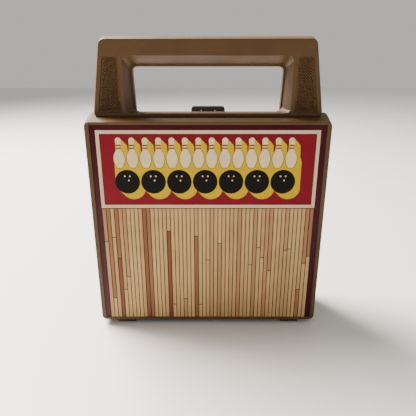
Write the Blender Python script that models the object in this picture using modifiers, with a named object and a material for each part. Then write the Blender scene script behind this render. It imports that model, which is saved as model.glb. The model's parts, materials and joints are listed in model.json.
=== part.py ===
"""A toy bowling game in its carry case: two hinged case halves that open flat into a lane,
with ten pins and a wind-up walking ball stored in the well at the handle end.

Units are metres. +X is to the right, -Y is the front, +Z is up. The origin is the middle of
the base, on the table. A depth is measured from the parting plane (y = 0) towards either face,
and a height on the handle is measured from the top edge of the case's face.
"""

import math
from dataclasses import dataclass

import bmesh
import bpy
from mathutils import Matrix

# Case: two drafted trays that meet at the parting plane.
FACE_WIDTH = 0.1785
FACE_HEIGHT = 0.1655
CASE_DEPTH = 0.0500
GROUND_GAP = 0.0040
SIDE_DRAFT = 0.0030
TOP_DRAFT = 0.0037
BOTTOM_DRAFT = 0.0006
WALL = 0.0020
CORNER_RADIUS = 0.0036
EDGE_ROUNDING = 0.0007
CORNER_SEGMENTS = 3
PARTING_GAP = 0.0003
CLEARANCE = 0.0003

# Raised rim round the label, the same on both faces.
RIM_SIDE = 0.0034
RIM_TOP = 0.0022
RIM_BOTTOM = 0.0023
RIM_HEIGHT = 0.0010
LABEL_THICKNESS = 0.0004

# Handle: half of it is moulded on each case half.
HANDLE_DEPTH = 0.0128
HANDLE_HEIGHT = 0.0559
HANDLE_BASE_HALF_WIDTH = 0.0850
HANDLE_TOP_HALF_WIDTH = 0.0767
HANDLE_SIDE_DRAFT = 0.0015
HANDLE_TOP_DRAFT = 0.0020
HANDLE_WALL = 0.0022
HANDLE_SINK = 0.0016
HANDLE_SOFTENING = 0.0012
RAIL_HEIGHT = 0.0045
OPENING_HALF_WIDTH = 0.0610
OPENING_TOP = 0.0446
OPENING_RADIUS = 0.0038
THROAT_HALF_WIDTH_LOW = 0.0560
THROAT_HALF_WIDTH_HIGH = 0.0579
THROAT_TOP = 0.0384
LIP_WIDTH = 0.0014
LIP_DEPTH = 0.0055

# How far the handle's cutters run past its walls, as a share of their depth.
FRONT_OVERRUN = 0.1
BACK_OVERRUN = 0.2
HOLLOW_OVERRUN = 0.05

# The cutter of a through hole is this many times as long as the hole.
THROUGH = 2

# Grip panels sunk into the front of each handle leg.
GRIP_BOTTOM = 0.0049
GRIP_MARGIN = 0.0023
GRIP_EDGE = 0.0034
GRIP_TOP_MARGIN = 0.0118
GRIP_SINK = 0.0010

# Base: feet and hinge. The feet of the two halves stand side by side when the case is open.
FOOT_WIDTH = 0.0140
FRONT_FOOT_X = 0.0690
BACK_FOOT_X = 0.0470
FOOT_NEAR = 0.0060
FOOT_FAR = 0.0220
HINGE_HEIGHT = 0.0016
HINGE_PIN_RADIUS = 0.0006
HINGE_PLAY = 0.00015
KNUCKLE_RADIUS = 0.00145
KNUCKLE_LENGTH = 0.0117
KNUCKLE_GAP = 0.0004
HINGE_X = 0.0570
KNUCKLES = 3

# Latch: a tab that rocks on a pin under the back half's top wall.
LATCH_HALF_WIDTH = 0.0129
LATCH_THICKNESS = 0.0036
LATCH_DEPTH = 0.0030
LATCH_RISE = 0.0081
LATCH_CHAMFER = 0.0020
LATCH_PIVOT_DROP = 0.0052
LATCH_TAIL = 0.0019
LATCH_SWING_ROOM = 0.0016
LATCH_PIN_RADIUS = 0.0008
LATCH_BRACKET = 0.0022
NOSE_HALF_WIDTH = 0.0080
NOSE_HEIGHT = 0.0009
NOSE_REACH = 0.0008
NOTCH_X = 0.0053
NOTCH_SIZE = 0.0007

# Lane panel in each half, with a gutter down both sides.
LANE_SINK = 0.0023
LANE_THICKNESS = 0.0016
LANE_HALF_WIDTH = 0.0560
GUTTER_DEPTH = 0.0055
GUTTER_SLOPE = 0.0012
LANE_SHELF = 0.0026
LANE_FIT = 0.0006
SCREW_SHANK_RADIUS = 0.0013
SCREW_HEAD_RADIUS = 0.0026
SCREW_HEAD_HEIGHT = 0.0013
SCREW_LENGTH = 0.0100
BOSS_RADIUS = 0.0032

# Screw heads: the flat of the crown and the height of its edge, as shares of the head.
HEAD_CROWN = 0.65
HEAD_SHOULDER = 0.45

# Pins, on the profile of a full-size pin: share of the height, share of the belly radius.
PIN_HEIGHT = 0.0300
PIN_SPACING = 0.0016
PIN_ROW_MARGIN = 0.0014
PINS_PER_SIDE = 5
BALL_BAY_PLAY = 0.0023
PIN_DEPTH = 0.0110
PIN_STEPS = 12
PIN_PROFILE = (
    (1.00, 0.00), (0.985, 0.30), (0.94, 0.49), (0.895, 0.535), (0.82, 0.48), (0.68, 0.375),
    (0.60, 0.45), (0.49, 0.76), (0.38, 0.965), (0.30, 1.00), (0.20, 0.93), (0.09, 0.70),
    (0.00, 0.44), (0.00, 0.00),
)

# Storage rack: it holds the pins at the neck and the ball from behind.
RACK_THICKNESS = 0.0018
RACK_NECK = 0.66
RACK_FRONT = 0.0035
RACK_PLAY = 0.0004
PAD_HEIGHT = 0.0030
PAD_WIDTH = 0.0080

# Walking ball. Its radius follows from the movement that it holds.
BALL_WALL = 0.0016
BALL_PLAY = 0.00027
BALL_SEAM = 0.0003
BALL_STEPS = 24
BALL_ARC_STEPS = 7
BALL_HEADROOM = 0.0045
FINGER_HOLE_RADIUS = 0.0019
FINGER_HOLE_SINK = 0.0010
FINGER_HOLES = (("left", -18, 46), ("right", 18, 46), ("right", 14, 20))

# Wind-up movement, in the ball. Heights are in gear modules from the ball's centre, and a
# tooth's shares are of the module across it and of the pitch along it.
GEAR_MODULE = 0.0004
WIND_MODULES = 12.5
CRANK_MODULES = -15.0
TOOTH_ADDENDUM = 0.8
TOOTH_DEDENDUM = 1.1
TOOTH_ROOT_SHARE = 0.27
TOOTH_TIP_SHARE = 0.10
DRIVE_TEETH = 36
IDLER_PINION_TEETH = 12
IDLER_TEETH = 30
CRANK_TEETH = 12
GEAR_THICKNESS = 0.0014
PINION_OVERHANG = 0.0003
SHAFT_RADIUS = 0.0009
AXLE_RADIUS = 0.0008
SHAFT_PLAY = 0.0002
FRAME_HALF_GAP = 0.0055
FRAME_PLATE = 0.0010
FRAME_EDGE = 0.0006
FRAME_FOOT = 0.0024
FRAME_CORNER = 0.0026
POST_RADIUS = 0.0013
REAR_POST_ANGLE = 158
FRONT_POST_ANGLE = 27
LOW_POST_BEHIND = 0.0081
LOW_POST_DROP = 0.0010
MOVEMENT_HEAD = 0.0006
SPRING_WIDTH = 0.0034
SPRING_STRIP = 0.00035
SPRING_INNER = 0.0015
SPRING_OUTER = 0.0062
SPRING_TURNS = 3.5
SPRING_STEPS_PER_TURN = 14
KNOB_RADIUS = 0.0042
KNOB_LENGTH = 0.0042
KNOB_LOBES = 10
KNOB_LOBE_DEPTH = 0.00025

# Cranks and feet.
CRANK_THROW = 0.0015
CRANK_DISC_RADIUS = 0.0031
CRANK_DISC = 0.0010
CRANK_PIN_RADIUS = 0.0009
LEG_THICKNESS = 0.0022
LEG_HALF_WIDTH = 0.0029
SHOE_HALF_WIDTH = 0.0060
SHOE_HALF_LENGTH = 0.0120
SHOE_HEIGHT = 0.0044
SHOE_FORWARD = 0.0010
SHOE_ROUNDING = 0.0018
SHOE_PLAY = 0.0004

# Sizes that follow from the ones above.
HALF_DEPTH = CASE_DEPTH / 2
FACE_BOTTOM = GROUND_GAP
FACE_TOP = FACE_BOTTOM + FACE_HEIGHT
FLOOR_DEPTH = HALF_DEPTH - RIM_HEIGHT - WALL
MEETING = PARTING_GAP / 2
PARTING_TOP = FACE_TOP + TOP_DRAFT
PARTING_BOTTOM = FACE_BOTTOM - BOTTOM_DRAFT
GUTTER_FLOOR = LANE_SINK + GUTTER_DEPTH
RACK_BACK = FLOOR_DEPTH - CLEARANCE
KNUCKLE_PITCH = KNUCKLE_LENGTH + KNUCKLE_GAP
LATCH_PIVOT_Z = PARTING_TOP - LATCH_PIVOT_DROP
LATCH_BOTTOM = LATCH_PIVOT_Z - LATCH_TAIL
WIND_HEIGHT = WIND_MODULES * GEAR_MODULE
CRANK_HEIGHT = CRANK_MODULES * GEAR_MODULE
DRIVE_RADIUS = GEAR_MODULE * DRIVE_TEETH / 2
IDLER_PINION_RADIUS = GEAR_MODULE * IDLER_PINION_TEETH / 2
IDLER_RADIUS = GEAR_MODULE * IDLER_TEETH / 2
CRANK_GEAR_RADIUS = GEAR_MODULE * CRANK_TEETH / 2
SPRING_LEFT = -FRAME_HALF_GAP + CLEARANCE
DRIVE_LEFT = SPRING_LEFT + SPRING_WIDTH + CLEARANCE
IDLER_LEFT = DRIVE_LEFT + GEAR_THICKNESS + 2 * PINION_OVERHANG + CLEARANCE
FRAME_OUTSIDE = FRAME_HALF_GAP + FRAME_PLATE
CRANK_DISC_NEAR = FRAME_OUTSIDE + CLEARANCE
LEG_NEAR = CRANK_DISC_NEAR + CRANK_DISC + CLEARANCE
LEG_MIDDLE = LEG_NEAR + LEG_THICKNESS / 2


def frame_posts():
    """(y, z) of the movement's three posts, clear of the drive gear."""
    clear = DRIVE_RADIUS + GEAR_MODULE + POST_RADIUS + CLEARANCE
    angles = (math.radians(REAR_POST_ANGLE), math.radians(FRONT_POST_ANGLE))
    upper = [(clear * math.cos(a), WIND_HEIGHT + clear * math.sin(a)) for a in angles]
    return [*upper, (-LOW_POST_BEHIND, CRANK_HEIGHT - LOW_POST_DROP)]


def plate_outline():
    """The frame plates' outline in (y, z): a rectangle round the posts with round corners."""
    posts = frame_posts()
    margin = POST_RADIUS + FRAME_EDGE / 2
    left = min(y for y, _ in posts) - margin
    right = max(y for y, _ in posts) + margin
    low = CRANK_HEIGHT - AXLE_RADIUS - FRAME_FOOT
    high = max(z for _, z in posts) + margin
    centres = (
        (right - FRAME_CORNER, high - FRAME_CORNER, 0),
        (left + FRAME_CORNER, high - FRAME_CORNER, 1),
        (left + FRAME_CORNER, low + FRAME_CORNER, 2),
        (right - FRAME_CORNER, low + FRAME_CORNER, 3),
    )
    outline = []
    for y, z, quarter in centres:
        for i in range(4):
            angle = math.pi / 2 * (quarter + i / 3)
            outline.append((y + FRAME_CORNER * math.cos(angle), z + FRAME_CORNER * math.sin(angle)))
    return outline


def movement_reach():
    """How far the movement reaches from the ball's centre, at the corners of its plates."""
    return max(math.hypot(FRAME_OUTSIDE, y, z) for y, z in plate_outline())


# The ball fits round the movement, and the well is as high as the ball on its feet.
BALL_RADIUS = movement_reach() + BALL_PLAY + BALL_WALL
KNOB_NEAR = BALL_RADIUS + CLEARANCE
BALL_BAY = KNOB_NEAR + KNOB_LENGTH + BALL_BAY_PLAY
SHOE_TOP = -(BALL_RADIUS + SHOE_PLAY + 2 * CRANK_THROW)
SHOE_BOTTOM = SHOE_TOP - SHOE_HEIGHT
BALL_CENTRE = (0.0, 0.0, LATCH_BOTTOM - BALL_HEADROOM - BALL_RADIUS)
WELL_FLOOR = BALL_CENTRE[2] + SHOE_BOTTOM - CLEARANCE
RACK_LOW = WELL_FLOOR + CLEARANCE + RACK_NECK * PIN_HEIGHT - RACK_THICKNESS / 2

TAN = (0.352, 0.203, 0.105)
DARK_OLIVE = (0.035, 0.024, 0.008)
PAPER = (0.55, 0.45, 0.32)
MAPLE = (0.55, 0.38, 0.22)
STEEL = (0.56, 0.57, 0.58)
BRASS = (0.55, 0.38, 0.14)
WHITE = (0.80, 0.78, 0.72)
BLACK = (0.010, 0.010, 0.011)
ORANGE = (0.62, 0.15, 0.02)


@dataclass(frozen=True)
class Quad:
    """A four-sided outline in an XZ plane, whose top and bottom edges are level."""

    low: tuple
    high: tuple
    z_low: float
    z_high: float

    def corner(self, right, top):
        ends = self.high if top else self.low
        return ends[1 if right else 0], self.z_high if top else self.z_low

    def towards(self, other, share):
        """The outline at this share of the way to another one; a share may pass 0 or 1."""

        def mix(a, b):
            return a + (b - a) * share

        return Quad(
            tuple(mix(a, b) for a, b in zip(self.low, other.low)),
            tuple(mix(a, b) for a, b in zip(self.high, other.high)),
            mix(self.z_low, other.z_low),
            mix(self.z_high, other.z_high),
        )

    def mirrored(self):
        low, high = self.low, self.high
        return Quad((-low[1], -low[0]), (-high[1], -high[0]), self.z_low, self.z_high)


def centred(half_low, half_high, z_low, z_high):
    return Quad((-half_low, half_low), (-half_high, half_high), z_low, z_high)


def linked(name, data, collection):
    obj = bpy.data.objects.new(name, data)
    bpy.data.collections[collection].objects.link(obj)
    if collection == "cutters":
        obj.hide_render = True
        obj.display_type = "WIRE"
    return obj


def mesh_object(name, bm, collection):
    mesh = bpy.data.meshes.new(name)
    bm.to_mesh(mesh)
    bm.free()
    return linked(name, mesh, collection)


def loft(name, far, far_depth, near, near_depth, radius=0.0, soften=0.0, collection="cutters"):
    """A solid between two outlines at two depths, its long corners rounded and its far rim softened."""
    bm = bmesh.new()
    bmesh.ops.create_cube(bm, size=1.0)
    for vert in bm.verts:
        outline, depth = (far, far_depth) if vert.co.y < 0 else (near, near_depth)
        x, z = outline.corner(vert.co.x > 0, vert.co.z > 0)
        vert.co = (x, depth, z)
    if far_depth > near_depth:
        bmesh.ops.reverse_faces(bm, faces=bm.faces)
    if radius:
        runs = [edge for edge in bm.edges if edge.verts[0].co.y != edge.verts[1].co.y]
        bmesh.ops.bevel(
            bm, geom=runs, offset=radius, segments=CORNER_SEGMENTS, affect="EDGES", profile=0.5
        )
    if soften:
        rim = [
            edge for edge in bm.edges if all(abs(vert.co.y - far_depth) < 1e-6 for vert in edge.verts)
        ]
        bmesh.ops.bevel(bm, geom=rim, offset=soften, segments=2, affect="EDGES", profile=0.5)
    return mesh_object(name, bm, collection)


def block(name, x, y, z, collection="cutters"):
    """A box between two limits on each axis."""
    bm = bmesh.new()
    bmesh.ops.create_cube(bm, size=1.0)
    for vert in bm.verts:
        vert.co = tuple(limits[share > 0] for limits, share in zip((x, y, z), vert.co))
    return mesh_object(name, bm, collection)


TURN_TO = {
    "+X": (0.0, math.pi / 2, 0.0),
    "-X": (0.0, -math.pi / 2, 0.0),
    "+Y": (-math.pi / 2, 0.0, 0.0),
    "-Y": (math.pi / 2, 0.0, 0.0),
    "+Z": (0.0, 0.0, 0.0),
}


def rod(name, middle, length, radius, along="+X", sides=16, collection="cutters"):
    """A round rod about its middle, along one axis."""
    bm = bmesh.new()
    bmesh.ops.create_cone(
        bm, cap_ends=True, segments=sides, radius1=radius, radius2=radius, depth=length
    )
    obj = mesh_object(name, bm, collection)
    obj.data.shade_smooth()
    obj.data.set_sharp_from_angle(angle=math.radians(40))
    obj.location = middle
    obj.rotation_euler = TURN_TO[along]
    return obj


def turned(name, profile, place, along="+Z", steps=16, collection="bowling_game"):
    """A turned solid: the profile is (radius, height) from the top of the axis to its bottom."""
    mesh = bpy.data.meshes.new(name)
    points = [(radius, 0.0, height) for radius, height in profile]
    mesh.from_pydata(points, [(i, i + 1) for i in range(len(points) - 1)], [])
    obj = linked(name, mesh, collection)
    screw = obj.modifiers.new("turn", "SCREW")
    screw.steps = screw.render_steps = steps
    screw.use_merge_vertices = True
    screw.merge_threshold = 0.00001
    screw.use_smooth_shade = True
    obj.location = place
    obj.rotation_euler = TURN_TO[along]
    return obj


def flat(name, outlines, thickness, place, along="+Z", collection="bowling_game"):
    """A flat piece with closed outlines, an inner one being a hole, about its middle plane."""
    curve = bpy.data.curves.new(name, "CURVE")
    curve.dimensions = "2D"
    curve.fill_mode = "BOTH"
    curve.extrude = thickness / 2
    for outline in outlines:
        spline = curve.splines.new("POLY")
        spline.points.add(len(outline) - 1)
        for point, (x, y) in zip(spline.points, outline):
            point.co = (x, y, 0.0, 1.0)
        spline.use_cyclic_u = True
    obj = linked(name, curve, collection)
    obj.location = place
    obj.rotation_euler = TURN_TO[along]
    return obj


def solidified(obj):
    """The same piece as a closed mesh, so that a Boolean can cut it."""
    bpy.context.view_layer.update()
    graph = bpy.context.evaluated_depsgraph_get()
    mesh = bpy.data.meshes.new_from_object(obj.evaluated_get(graph))
    bm = bmesh.new()
    bm.from_mesh(mesh)
    bmesh.ops.remove_doubles(bm, verts=bm.verts, dist=0.000001)
    bm.to_mesh(mesh)
    bm.free()
    name, world = obj.name, obj.matrix_world.copy()
    collection = obj.users_collection[0].name
    bpy.data.objects.remove(obj)
    whole = linked(name, mesh, collection)
    whole.matrix_world = world
    return whole


def combine(obj, other, operation="DIFFERENCE"):
    modifier = obj.modifiers.new(other.name, "BOOLEAN")
    modifier.operation = operation
    modifier.solver = "EXACT"
    modifier.object = other
    return obj


def across_x(outline):
    """A (y, z) outline as flat() needs it where it is turned to +X."""
    return [(-z, y) for y, z in outline]


def circle(radius, centre=(0.0, 0.0), points=16):
    angles = [2 * math.pi * i / points for i in range(points)]
    return [(centre[0] + radius * math.cos(a), centre[1] + radius * math.sin(a)) for a in angles]


def finish(obj, name, colour, roughness, metallic=0.0):
    material = bpy.data.materials.get(name) or bpy.data.materials.new(name)
    material.use_nodes = True
    shader = material.node_tree.nodes["Principled BSDF"]
    shader.inputs["Base Color"].default_value = (*colour, 1.0)
    shader.inputs["Roughness"].default_value = roughness
    shader.inputs["Metallic"].default_value = metallic
    obj.data.materials.clear()
    obj.data.materials.append(material)


def pivot(name, place, parent=None):
    """An empty on a joint's axis."""
    empty = linked(name, None, "bowling_game")
    empty.empty_display_size = 0.005
    empty.location = place
    if parent:
        ride(empty, parent)
    return empty


def ride(obj, empty):
    """Parents a piece to an empty without moving it. The empties are never turned."""
    obj.parent = empty
    obj.matrix_parent_inverse = Matrix.Translation(-empty.location)


# ---------------------------------------------------------------- case


def case_outline(depth, inset=0.0):
    """The case's outline at a depth, drawn in by an inset."""
    share = 1 - depth / HALF_DEPTH
    half = FACE_WIDTH / 2 + SIDE_DRAFT * share - inset
    return centred(
        half,
        half,
        FACE_BOTTOM - BOTTOM_DRAFT * share + inset,
        FACE_TOP + TOP_DRAFT * share - inset,
    )


def handle_half_width(height):
    share = height / HANDLE_HEIGHT
    return HANDLE_BASE_HALF_WIDTH + (HANDLE_TOP_HALF_WIDTH - HANDLE_BASE_HALF_WIDTH) * share


def handle_outline(depth, bottom, inset=0.0):
    """The handle's outline at a depth, from a height upwards."""
    share = 1 - depth / HANDLE_DEPTH
    side = HANDLE_SIDE_DRAFT * share - inset
    top = HANDLE_HEIGHT + HANDLE_TOP_DRAFT * share - inset
    return centred(
        handle_half_width(bottom) + side,
        handle_half_width(HANDLE_HEIGHT) + side,
        FACE_TOP + bottom,
        FACE_TOP + top,
    )


def opening_mouth(bottom):
    return centred(OPENING_HALF_WIDTH, OPENING_HALF_WIDTH, FACE_TOP + bottom, FACE_TOP + OPENING_TOP)


def opening_throat(bottom, lip=0.0):
    return centred(
        THROAT_HALF_WIDTH_LOW - lip,
        THROAT_HALF_WIDTH_HIGH - lip,
        FACE_TOP + bottom,
        FACE_TOP + THROAT_TOP - lip,
    )


def case_tray(name, side):
    tray = loft(
        name, case_outline(HALF_DEPTH), side * HALF_DEPTH, case_outline(MEETING), side * MEETING,
        CORNER_RADIUS, EDGE_ROUNDING, "bowling_game",
    )
    inside = loft(
        f"{name}_inside", case_outline(FLOOR_DEPTH, WALL), side * FLOOR_DEPTH,
        case_outline(-WALL, WALL), -side * WALL, CORNER_RADIUS - WALL,
    )
    return combine(tray, inside)


def label_recess(name, side):
    half = FACE_WIDTH / 2 - RIM_SIDE
    outline = centred(half, half, FACE_BOTTOM + RIM_BOTTOM, FACE_TOP - RIM_TOP)
    return loft(
        name, outline, side * (HALF_DEPTH + RIM_HEIGHT), outline, side * (HALF_DEPTH - RIM_HEIGHT)
    )


def handle_half(name, side):
    """Half of the handle, hollow towards the parting plane."""
    handle = loft(
        name, handle_outline(HANDLE_DEPTH, HANDLE_SINK), side * HANDLE_DEPTH,
        handle_outline(MEETING, HANDLE_SINK), side * MEETING, CORNER_RADIUS, HANDLE_SOFTENING,
    )
    for cutter in opening_cutters(name, side) + hollow_cutters(name, side) + grip_cutters(name, side):
        combine(handle, cutter)
    return handle


def opening_cutters(name, side):
    """The hand opening: the front half narrows to its throat, the back half adds a lip."""
    if side < 0:
        mouth, throat = opening_mouth(RAIL_HEIGHT), opening_throat(RAIL_HEIGHT)
        return [
            loft(
                f"{name}_opening", mouth.towards(throat, -FRONT_OVERRUN),
                side * HANDLE_DEPTH * (1 + FRONT_OVERRUN), mouth.towards(throat, 1 + FRONT_OVERRUN),
                -side * HANDLE_DEPTH * FRONT_OVERRUN, OPENING_RADIUS,
            )
        ]
    below = -TOP_DRAFT
    mouth, lip = opening_mouth(below), opening_throat(below, LIP_WIDTH)
    outside = HANDLE_DEPTH + BACK_OVERRUN * (HANDLE_DEPTH - LIP_DEPTH)
    flare = loft(
        f"{name}_flare", mouth.towards(lip, -BACK_OVERRUN), outside, lip, LIP_DEPTH, OPENING_RADIUS
    )
    straight = loft(
        f"{name}_lip", lip, LIP_DEPTH + CLEARANCE, lip, -WALL, OPENING_RADIUS,
    )
    return [flare, straight]


def hollow_cutters(name, side):
    """Two leg hollows and the grip's hollow, open at the parting plane."""
    far = HANDLE_DEPTH - HANDLE_WALL
    floor = RAIL_HEIGHT + HANDLE_WALL
    past = -side * far * HOLLOW_OVERRUN
    cutters = []
    outer, inner = handle_outline(far, floor, HANDLE_WALL), handle_outline(0.0, floor, HANDLE_WALL)
    edge_far = OPENING_HALF_WIDTH + HANDLE_WALL
    edge_near = THROAT_HALF_WIDTH_HIGH + HANDLE_WALL
    leg_far = Quad((edge_far, outer.low[1]), (edge_far, outer.high[1]), outer.z_low, outer.z_high)
    leg_near = Quad((edge_near, inner.low[1]), (edge_near, inner.high[1]), inner.z_low, inner.z_high)
    for tag, a, b in (("right", leg_far, leg_near), ("left", leg_far.mirrored(), leg_near.mirrored())):
        end = a.towards(b, 1 + HOLLOW_OVERRUN)
        cutters.append(loft(f"{name}_hollow_{tag}", a, side * far, end, past))
    reach = OPENING_HALF_WIDTH + 2 * HANDLE_WALL
    bar_far = centred(reach, reach, FACE_TOP + OPENING_TOP + HANDLE_WALL, outer.z_high)
    bar_near = centred(reach, reach, FACE_TOP + THROAT_TOP + HANDLE_WALL, inner.z_high)
    end = bar_far.towards(bar_near, 1 + HOLLOW_OVERRUN)
    cutters.append(loft(f"{name}_hollow_grip", bar_far, side * far, end, past))
    return cutters


def grip_panel():
    """The sunk panel on the right leg: it follows the opening and the leg's outer side."""
    top = HANDLE_HEIGHT - GRIP_TOP_MARGIN
    inner = OPENING_HALF_WIDTH + GRIP_MARGIN
    return Quad(
        (inner, handle_half_width(GRIP_BOTTOM) - GRIP_EDGE),
        (inner + GRIP_SINK, handle_half_width(top) - GRIP_EDGE),
        FACE_TOP + GRIP_BOTTOM,
        FACE_TOP + top,
    )


def grip_cutters(name, side):
    panel = grip_panel()
    return [
        loft(
            f"{name}_grip_{tag}", outline, side * (HANDLE_DEPTH + GRIP_SINK), outline,
            side * (HANDLE_DEPTH - GRIP_SINK),
        )
        for tag, outline in (("right", panel), ("left", panel.mirrored()))
    ]


def foot(name, side, x):
    bottom_wall = PARTING_BOTTOM + WALL / 2
    depths = sorted((side * FOOT_NEAR, side * FOOT_FAR))
    return block(name, (x - FOOT_WIDTH / 2, x + FOOT_WIDTH / 2), depths, (0.0, bottom_wall))


def knuckle_middles(side):
    """The x of each knuckle of one half: the outer two of three are on the back half."""
    wanted = (1,) if side < 0 else (0, 2)
    offsets = [(i - (KNUCKLES - 1) / 2) * KNUCKLE_PITCH for i in wanted]
    return [centre + offset for centre in (-HINGE_X, HINGE_X) for offset in offsets]


def add_knuckles(shell, side):
    for number, x in enumerate(knuckle_middles(side)):
        tag = f"{shell.name}_knuckle_{number}"
        half = KNUCKLE_LENGTH / 2 - CLEARANCE
        across = (x - half, x + half)
        depths = sorted((side * PARTING_GAP, side * (KNUCKLE_RADIUS - CLEARANCE)))
        web = block(f"{tag}_web", across, depths, (HINGE_HEIGHT, PARTING_BOTTOM + WALL / 2))
        barrel = rod(tag, (x, 0.0, HINGE_HEIGHT), KNUCKLE_LENGTH, KNUCKLE_RADIUS)
        combine(shell, web, "UNION")
        combine(shell, barrel, "UNION")
    bore_length = 2 * (HINGE_X + KNUCKLES * KNUCKLE_PITCH)
    bore = rod(
        f"{shell.name}_bore", (0.0, 0.0, HINGE_HEIGHT), bore_length, HINGE_PIN_RADIUS + HINGE_PLAY
    )
    combine(shell, bore)


def screw_places():
    x = (LANE_HALF_WIDTH + lane_half_width() - LANE_SHELF) / 2
    z = (FACE_BOTTOM + WELL_FLOOR) / 2
    return ((-x, z), (x, z))


def add_bosses(shell, side):
    """Screw bosses under the gutters."""
    near = GUTTER_FLOOR + LANE_THICKNESS + CLEARANCE
    far = FLOOR_DEPTH + WALL / 2
    for tag, (x, z) in zip(("left", "right"), screw_places()):
        middle = (x, side * (near + far) / 2, z)
        combine(shell, rod(f"{shell.name}_boss_{tag}", middle, far - near, BOSS_RADIUS, "+Y"), "UNION")
        depth = SCREW_LENGTH + CLEARANCE
        hole = rod(
            f"{shell.name}_pilot_{tag}", (x, side * near, z), 2 * depth,
            SCREW_SHANK_RADIUS + CLEARANCE, "+Y",
        )
        combine(shell, hole)


def rack_pad_middles():
    inner = BALL_BAY + PAD_WIDTH
    outer = well_half_width() - PAD_WIDTH
    return (-outer, -inner, inner, outer)


def add_rack_pads(shell):
    top = RACK_LOW - CLEARANCE
    near = PIN_DEPTH + pin_radius() + CLEARANCE
    for number, x in enumerate(rack_pad_middles()):
        pad = block(
            f"rack_pad_{number}", (x - PAD_WIDTH / 2, x + PAD_WIDTH / 2),
            (near, FLOOR_DEPTH + WALL / 2), (top - PAD_HEIGHT, top),
        )
        combine(shell, pad, "UNION")


def latch_depths():
    return LATCH_DEPTH - LATCH_THICKNESS / 2, LATCH_DEPTH + LATCH_THICKNESS / 2


def add_latch_seat(shell):
    """The slot that the latch stands in, and two brackets for its pin."""
    near, far = latch_depths()
    half = LATCH_HALF_WIDTH + CLEARANCE
    slot = block(
        "latch_slot", (-half, half), (near - NOSE_REACH - CLEARANCE / 2, far + LATCH_SWING_ROOM),
        (FACE_TOP - WALL - TOP_DRAFT, PARTING_TOP + WALL),
    )
    combine(shell, slot)
    bottom = LATCH_BOTTOM
    for tag, sign in (("left", -1), ("right", 1)):
        across = sorted((sign * (half + CLEARANCE), sign * (half + CLEARANCE + LATCH_BRACKET)))
        bracket = block(
            f"latch_bracket_{tag}", across, (near, far), (bottom, PARTING_TOP - WALL + CLEARANCE)
        )
        combine(shell, bracket, "UNION")
    bore = rod(
        "latch_bore", (0.0, LATCH_DEPTH, LATCH_PIVOT_Z), 2 * (half + 2 * LATCH_BRACKET),
        LATCH_PIN_RADIUS + CLEARANCE,
    )
    combine(shell, bore)


def add_latch_pocket(shell):
    """The pocket in the front rail that the latch's nose snaps into."""
    half = NOSE_HALF_WIDTH + CLEARANCE
    low = nose_bottom() - CLEARANCE
    pocket = block(
        "latch_pocket", (-half, half), (-NOSE_REACH - CLEARANCE, WALL),
        (low, low + NOSE_HEIGHT + 2 * CLEARANCE),
    )
    combine(shell, pocket)


def case_shell(name, side):
    shell = case_tray(name, side)
    combine(shell, handle_half(f"{name}_handle", side), "UNION")
    combine(shell, label_recess(f"{name}_recess", side))
    foot_x = FRONT_FOOT_X if side < 0 else BACK_FOOT_X
    for tag, x in (("left", -foot_x), ("right", foot_x)):
        combine(shell, foot(f"{name}_foot_{tag}", side, x), "UNION")
    add_knuckles(shell, side)
    add_bosses(shell, side)
    if side > 0:
        add_rack_pads(shell)
        add_latch_seat(shell)
    else:
        add_latch_pocket(shell)
    finish(shell, "tan_plastic", TAN, 0.45)
    return shell


def front_label():
    half = FACE_WIDTH / 2 - RIM_SIDE - CLEARANCE
    depth = HALF_DEPTH - RIM_HEIGHT + CLEARANCE
    label = block(
        "front_label", (-half, half), (-depth - LABEL_THICKNESS, -depth),
        (FACE_BOTTOM + RIM_BOTTOM + CLEARANCE, FACE_TOP - RIM_TOP - CLEARANCE), "bowling_game",
    )
    finish(label, "printed_paper", PAPER, 0.35)
    return label


def hinge_pin(name, x):
    length = KNUCKLES * KNUCKLE_PITCH
    pin = rod(
        name, (x, 0.0, HINGE_HEIGHT), length, HINGE_PIN_RADIUS, sides=12, collection="bowling_game"
    )
    finish(pin, "steel", STEEL, 0.3, 1.0)
    return pin


# ---------------------------------------------------------------- latch


def nose_bottom():
    return PARTING_TOP - CLEARANCE - NOSE_HEIGHT


def latch_tab():
    near, far = latch_depths()
    top = FACE_TOP + LATCH_RISE
    bottom = LATCH_BOTTOM
    bm = bmesh.new()
    bmesh.ops.create_cube(bm, size=1.0)
    for vert in bm.verts:
        limits = ((-LATCH_HALF_WIDTH, LATCH_HALF_WIDTH), (near, far), (bottom, top))
        vert.co = tuple(pair[share > 0] for pair, share in zip(limits, vert.co))
    shoulders = [
        edge for edge in bm.edges
        if all(abs(vert.co.z - top) < 1e-6 for vert in edge.verts)
        and edge.verts[0].co.y != edge.verts[1].co.y
    ]
    bmesh.ops.bevel(bm, geom=shoulders, offset=LATCH_CHAMFER, segments=2, affect="EDGES", profile=0.5)
    tab = mesh_object("latch", bm, "bowling_game")
    low = nose_bottom()
    nose = block(
        "latch_nose", (-NOSE_HALF_WIDTH, NOSE_HALF_WIDTH), (near - NOSE_REACH, near + CLEARANCE),
        (low, low + NOSE_HEIGHT),
    )
    combine(tab, nose, "UNION")
    notch_low = FACE_TOP + RAIL_HEIGHT
    for tag, x in (("left", -NOTCH_X), ("right", NOTCH_X)):
        notch = block(
            f"latch_notch_{tag}", (x - NOTCH_SIZE / 2, x + NOTCH_SIZE / 2),
            (near - NOSE_REACH - CLEARANCE, far + CLEARANCE), (notch_low, notch_low + NOTCH_SIZE),
        )
        combine(tab, notch)
    bore = rod(
        "latch_tab_bore", (0.0, LATCH_DEPTH, LATCH_PIVOT_Z), THROUGH * 2 * LATCH_HALF_WIDTH,
        LATCH_PIN_RADIUS + CLEARANCE, sides=12,
    )
    combine(tab, bore)
    finish(tab, "dark_plastic", DARK_OLIVE, 0.4)
    return tab


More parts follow.
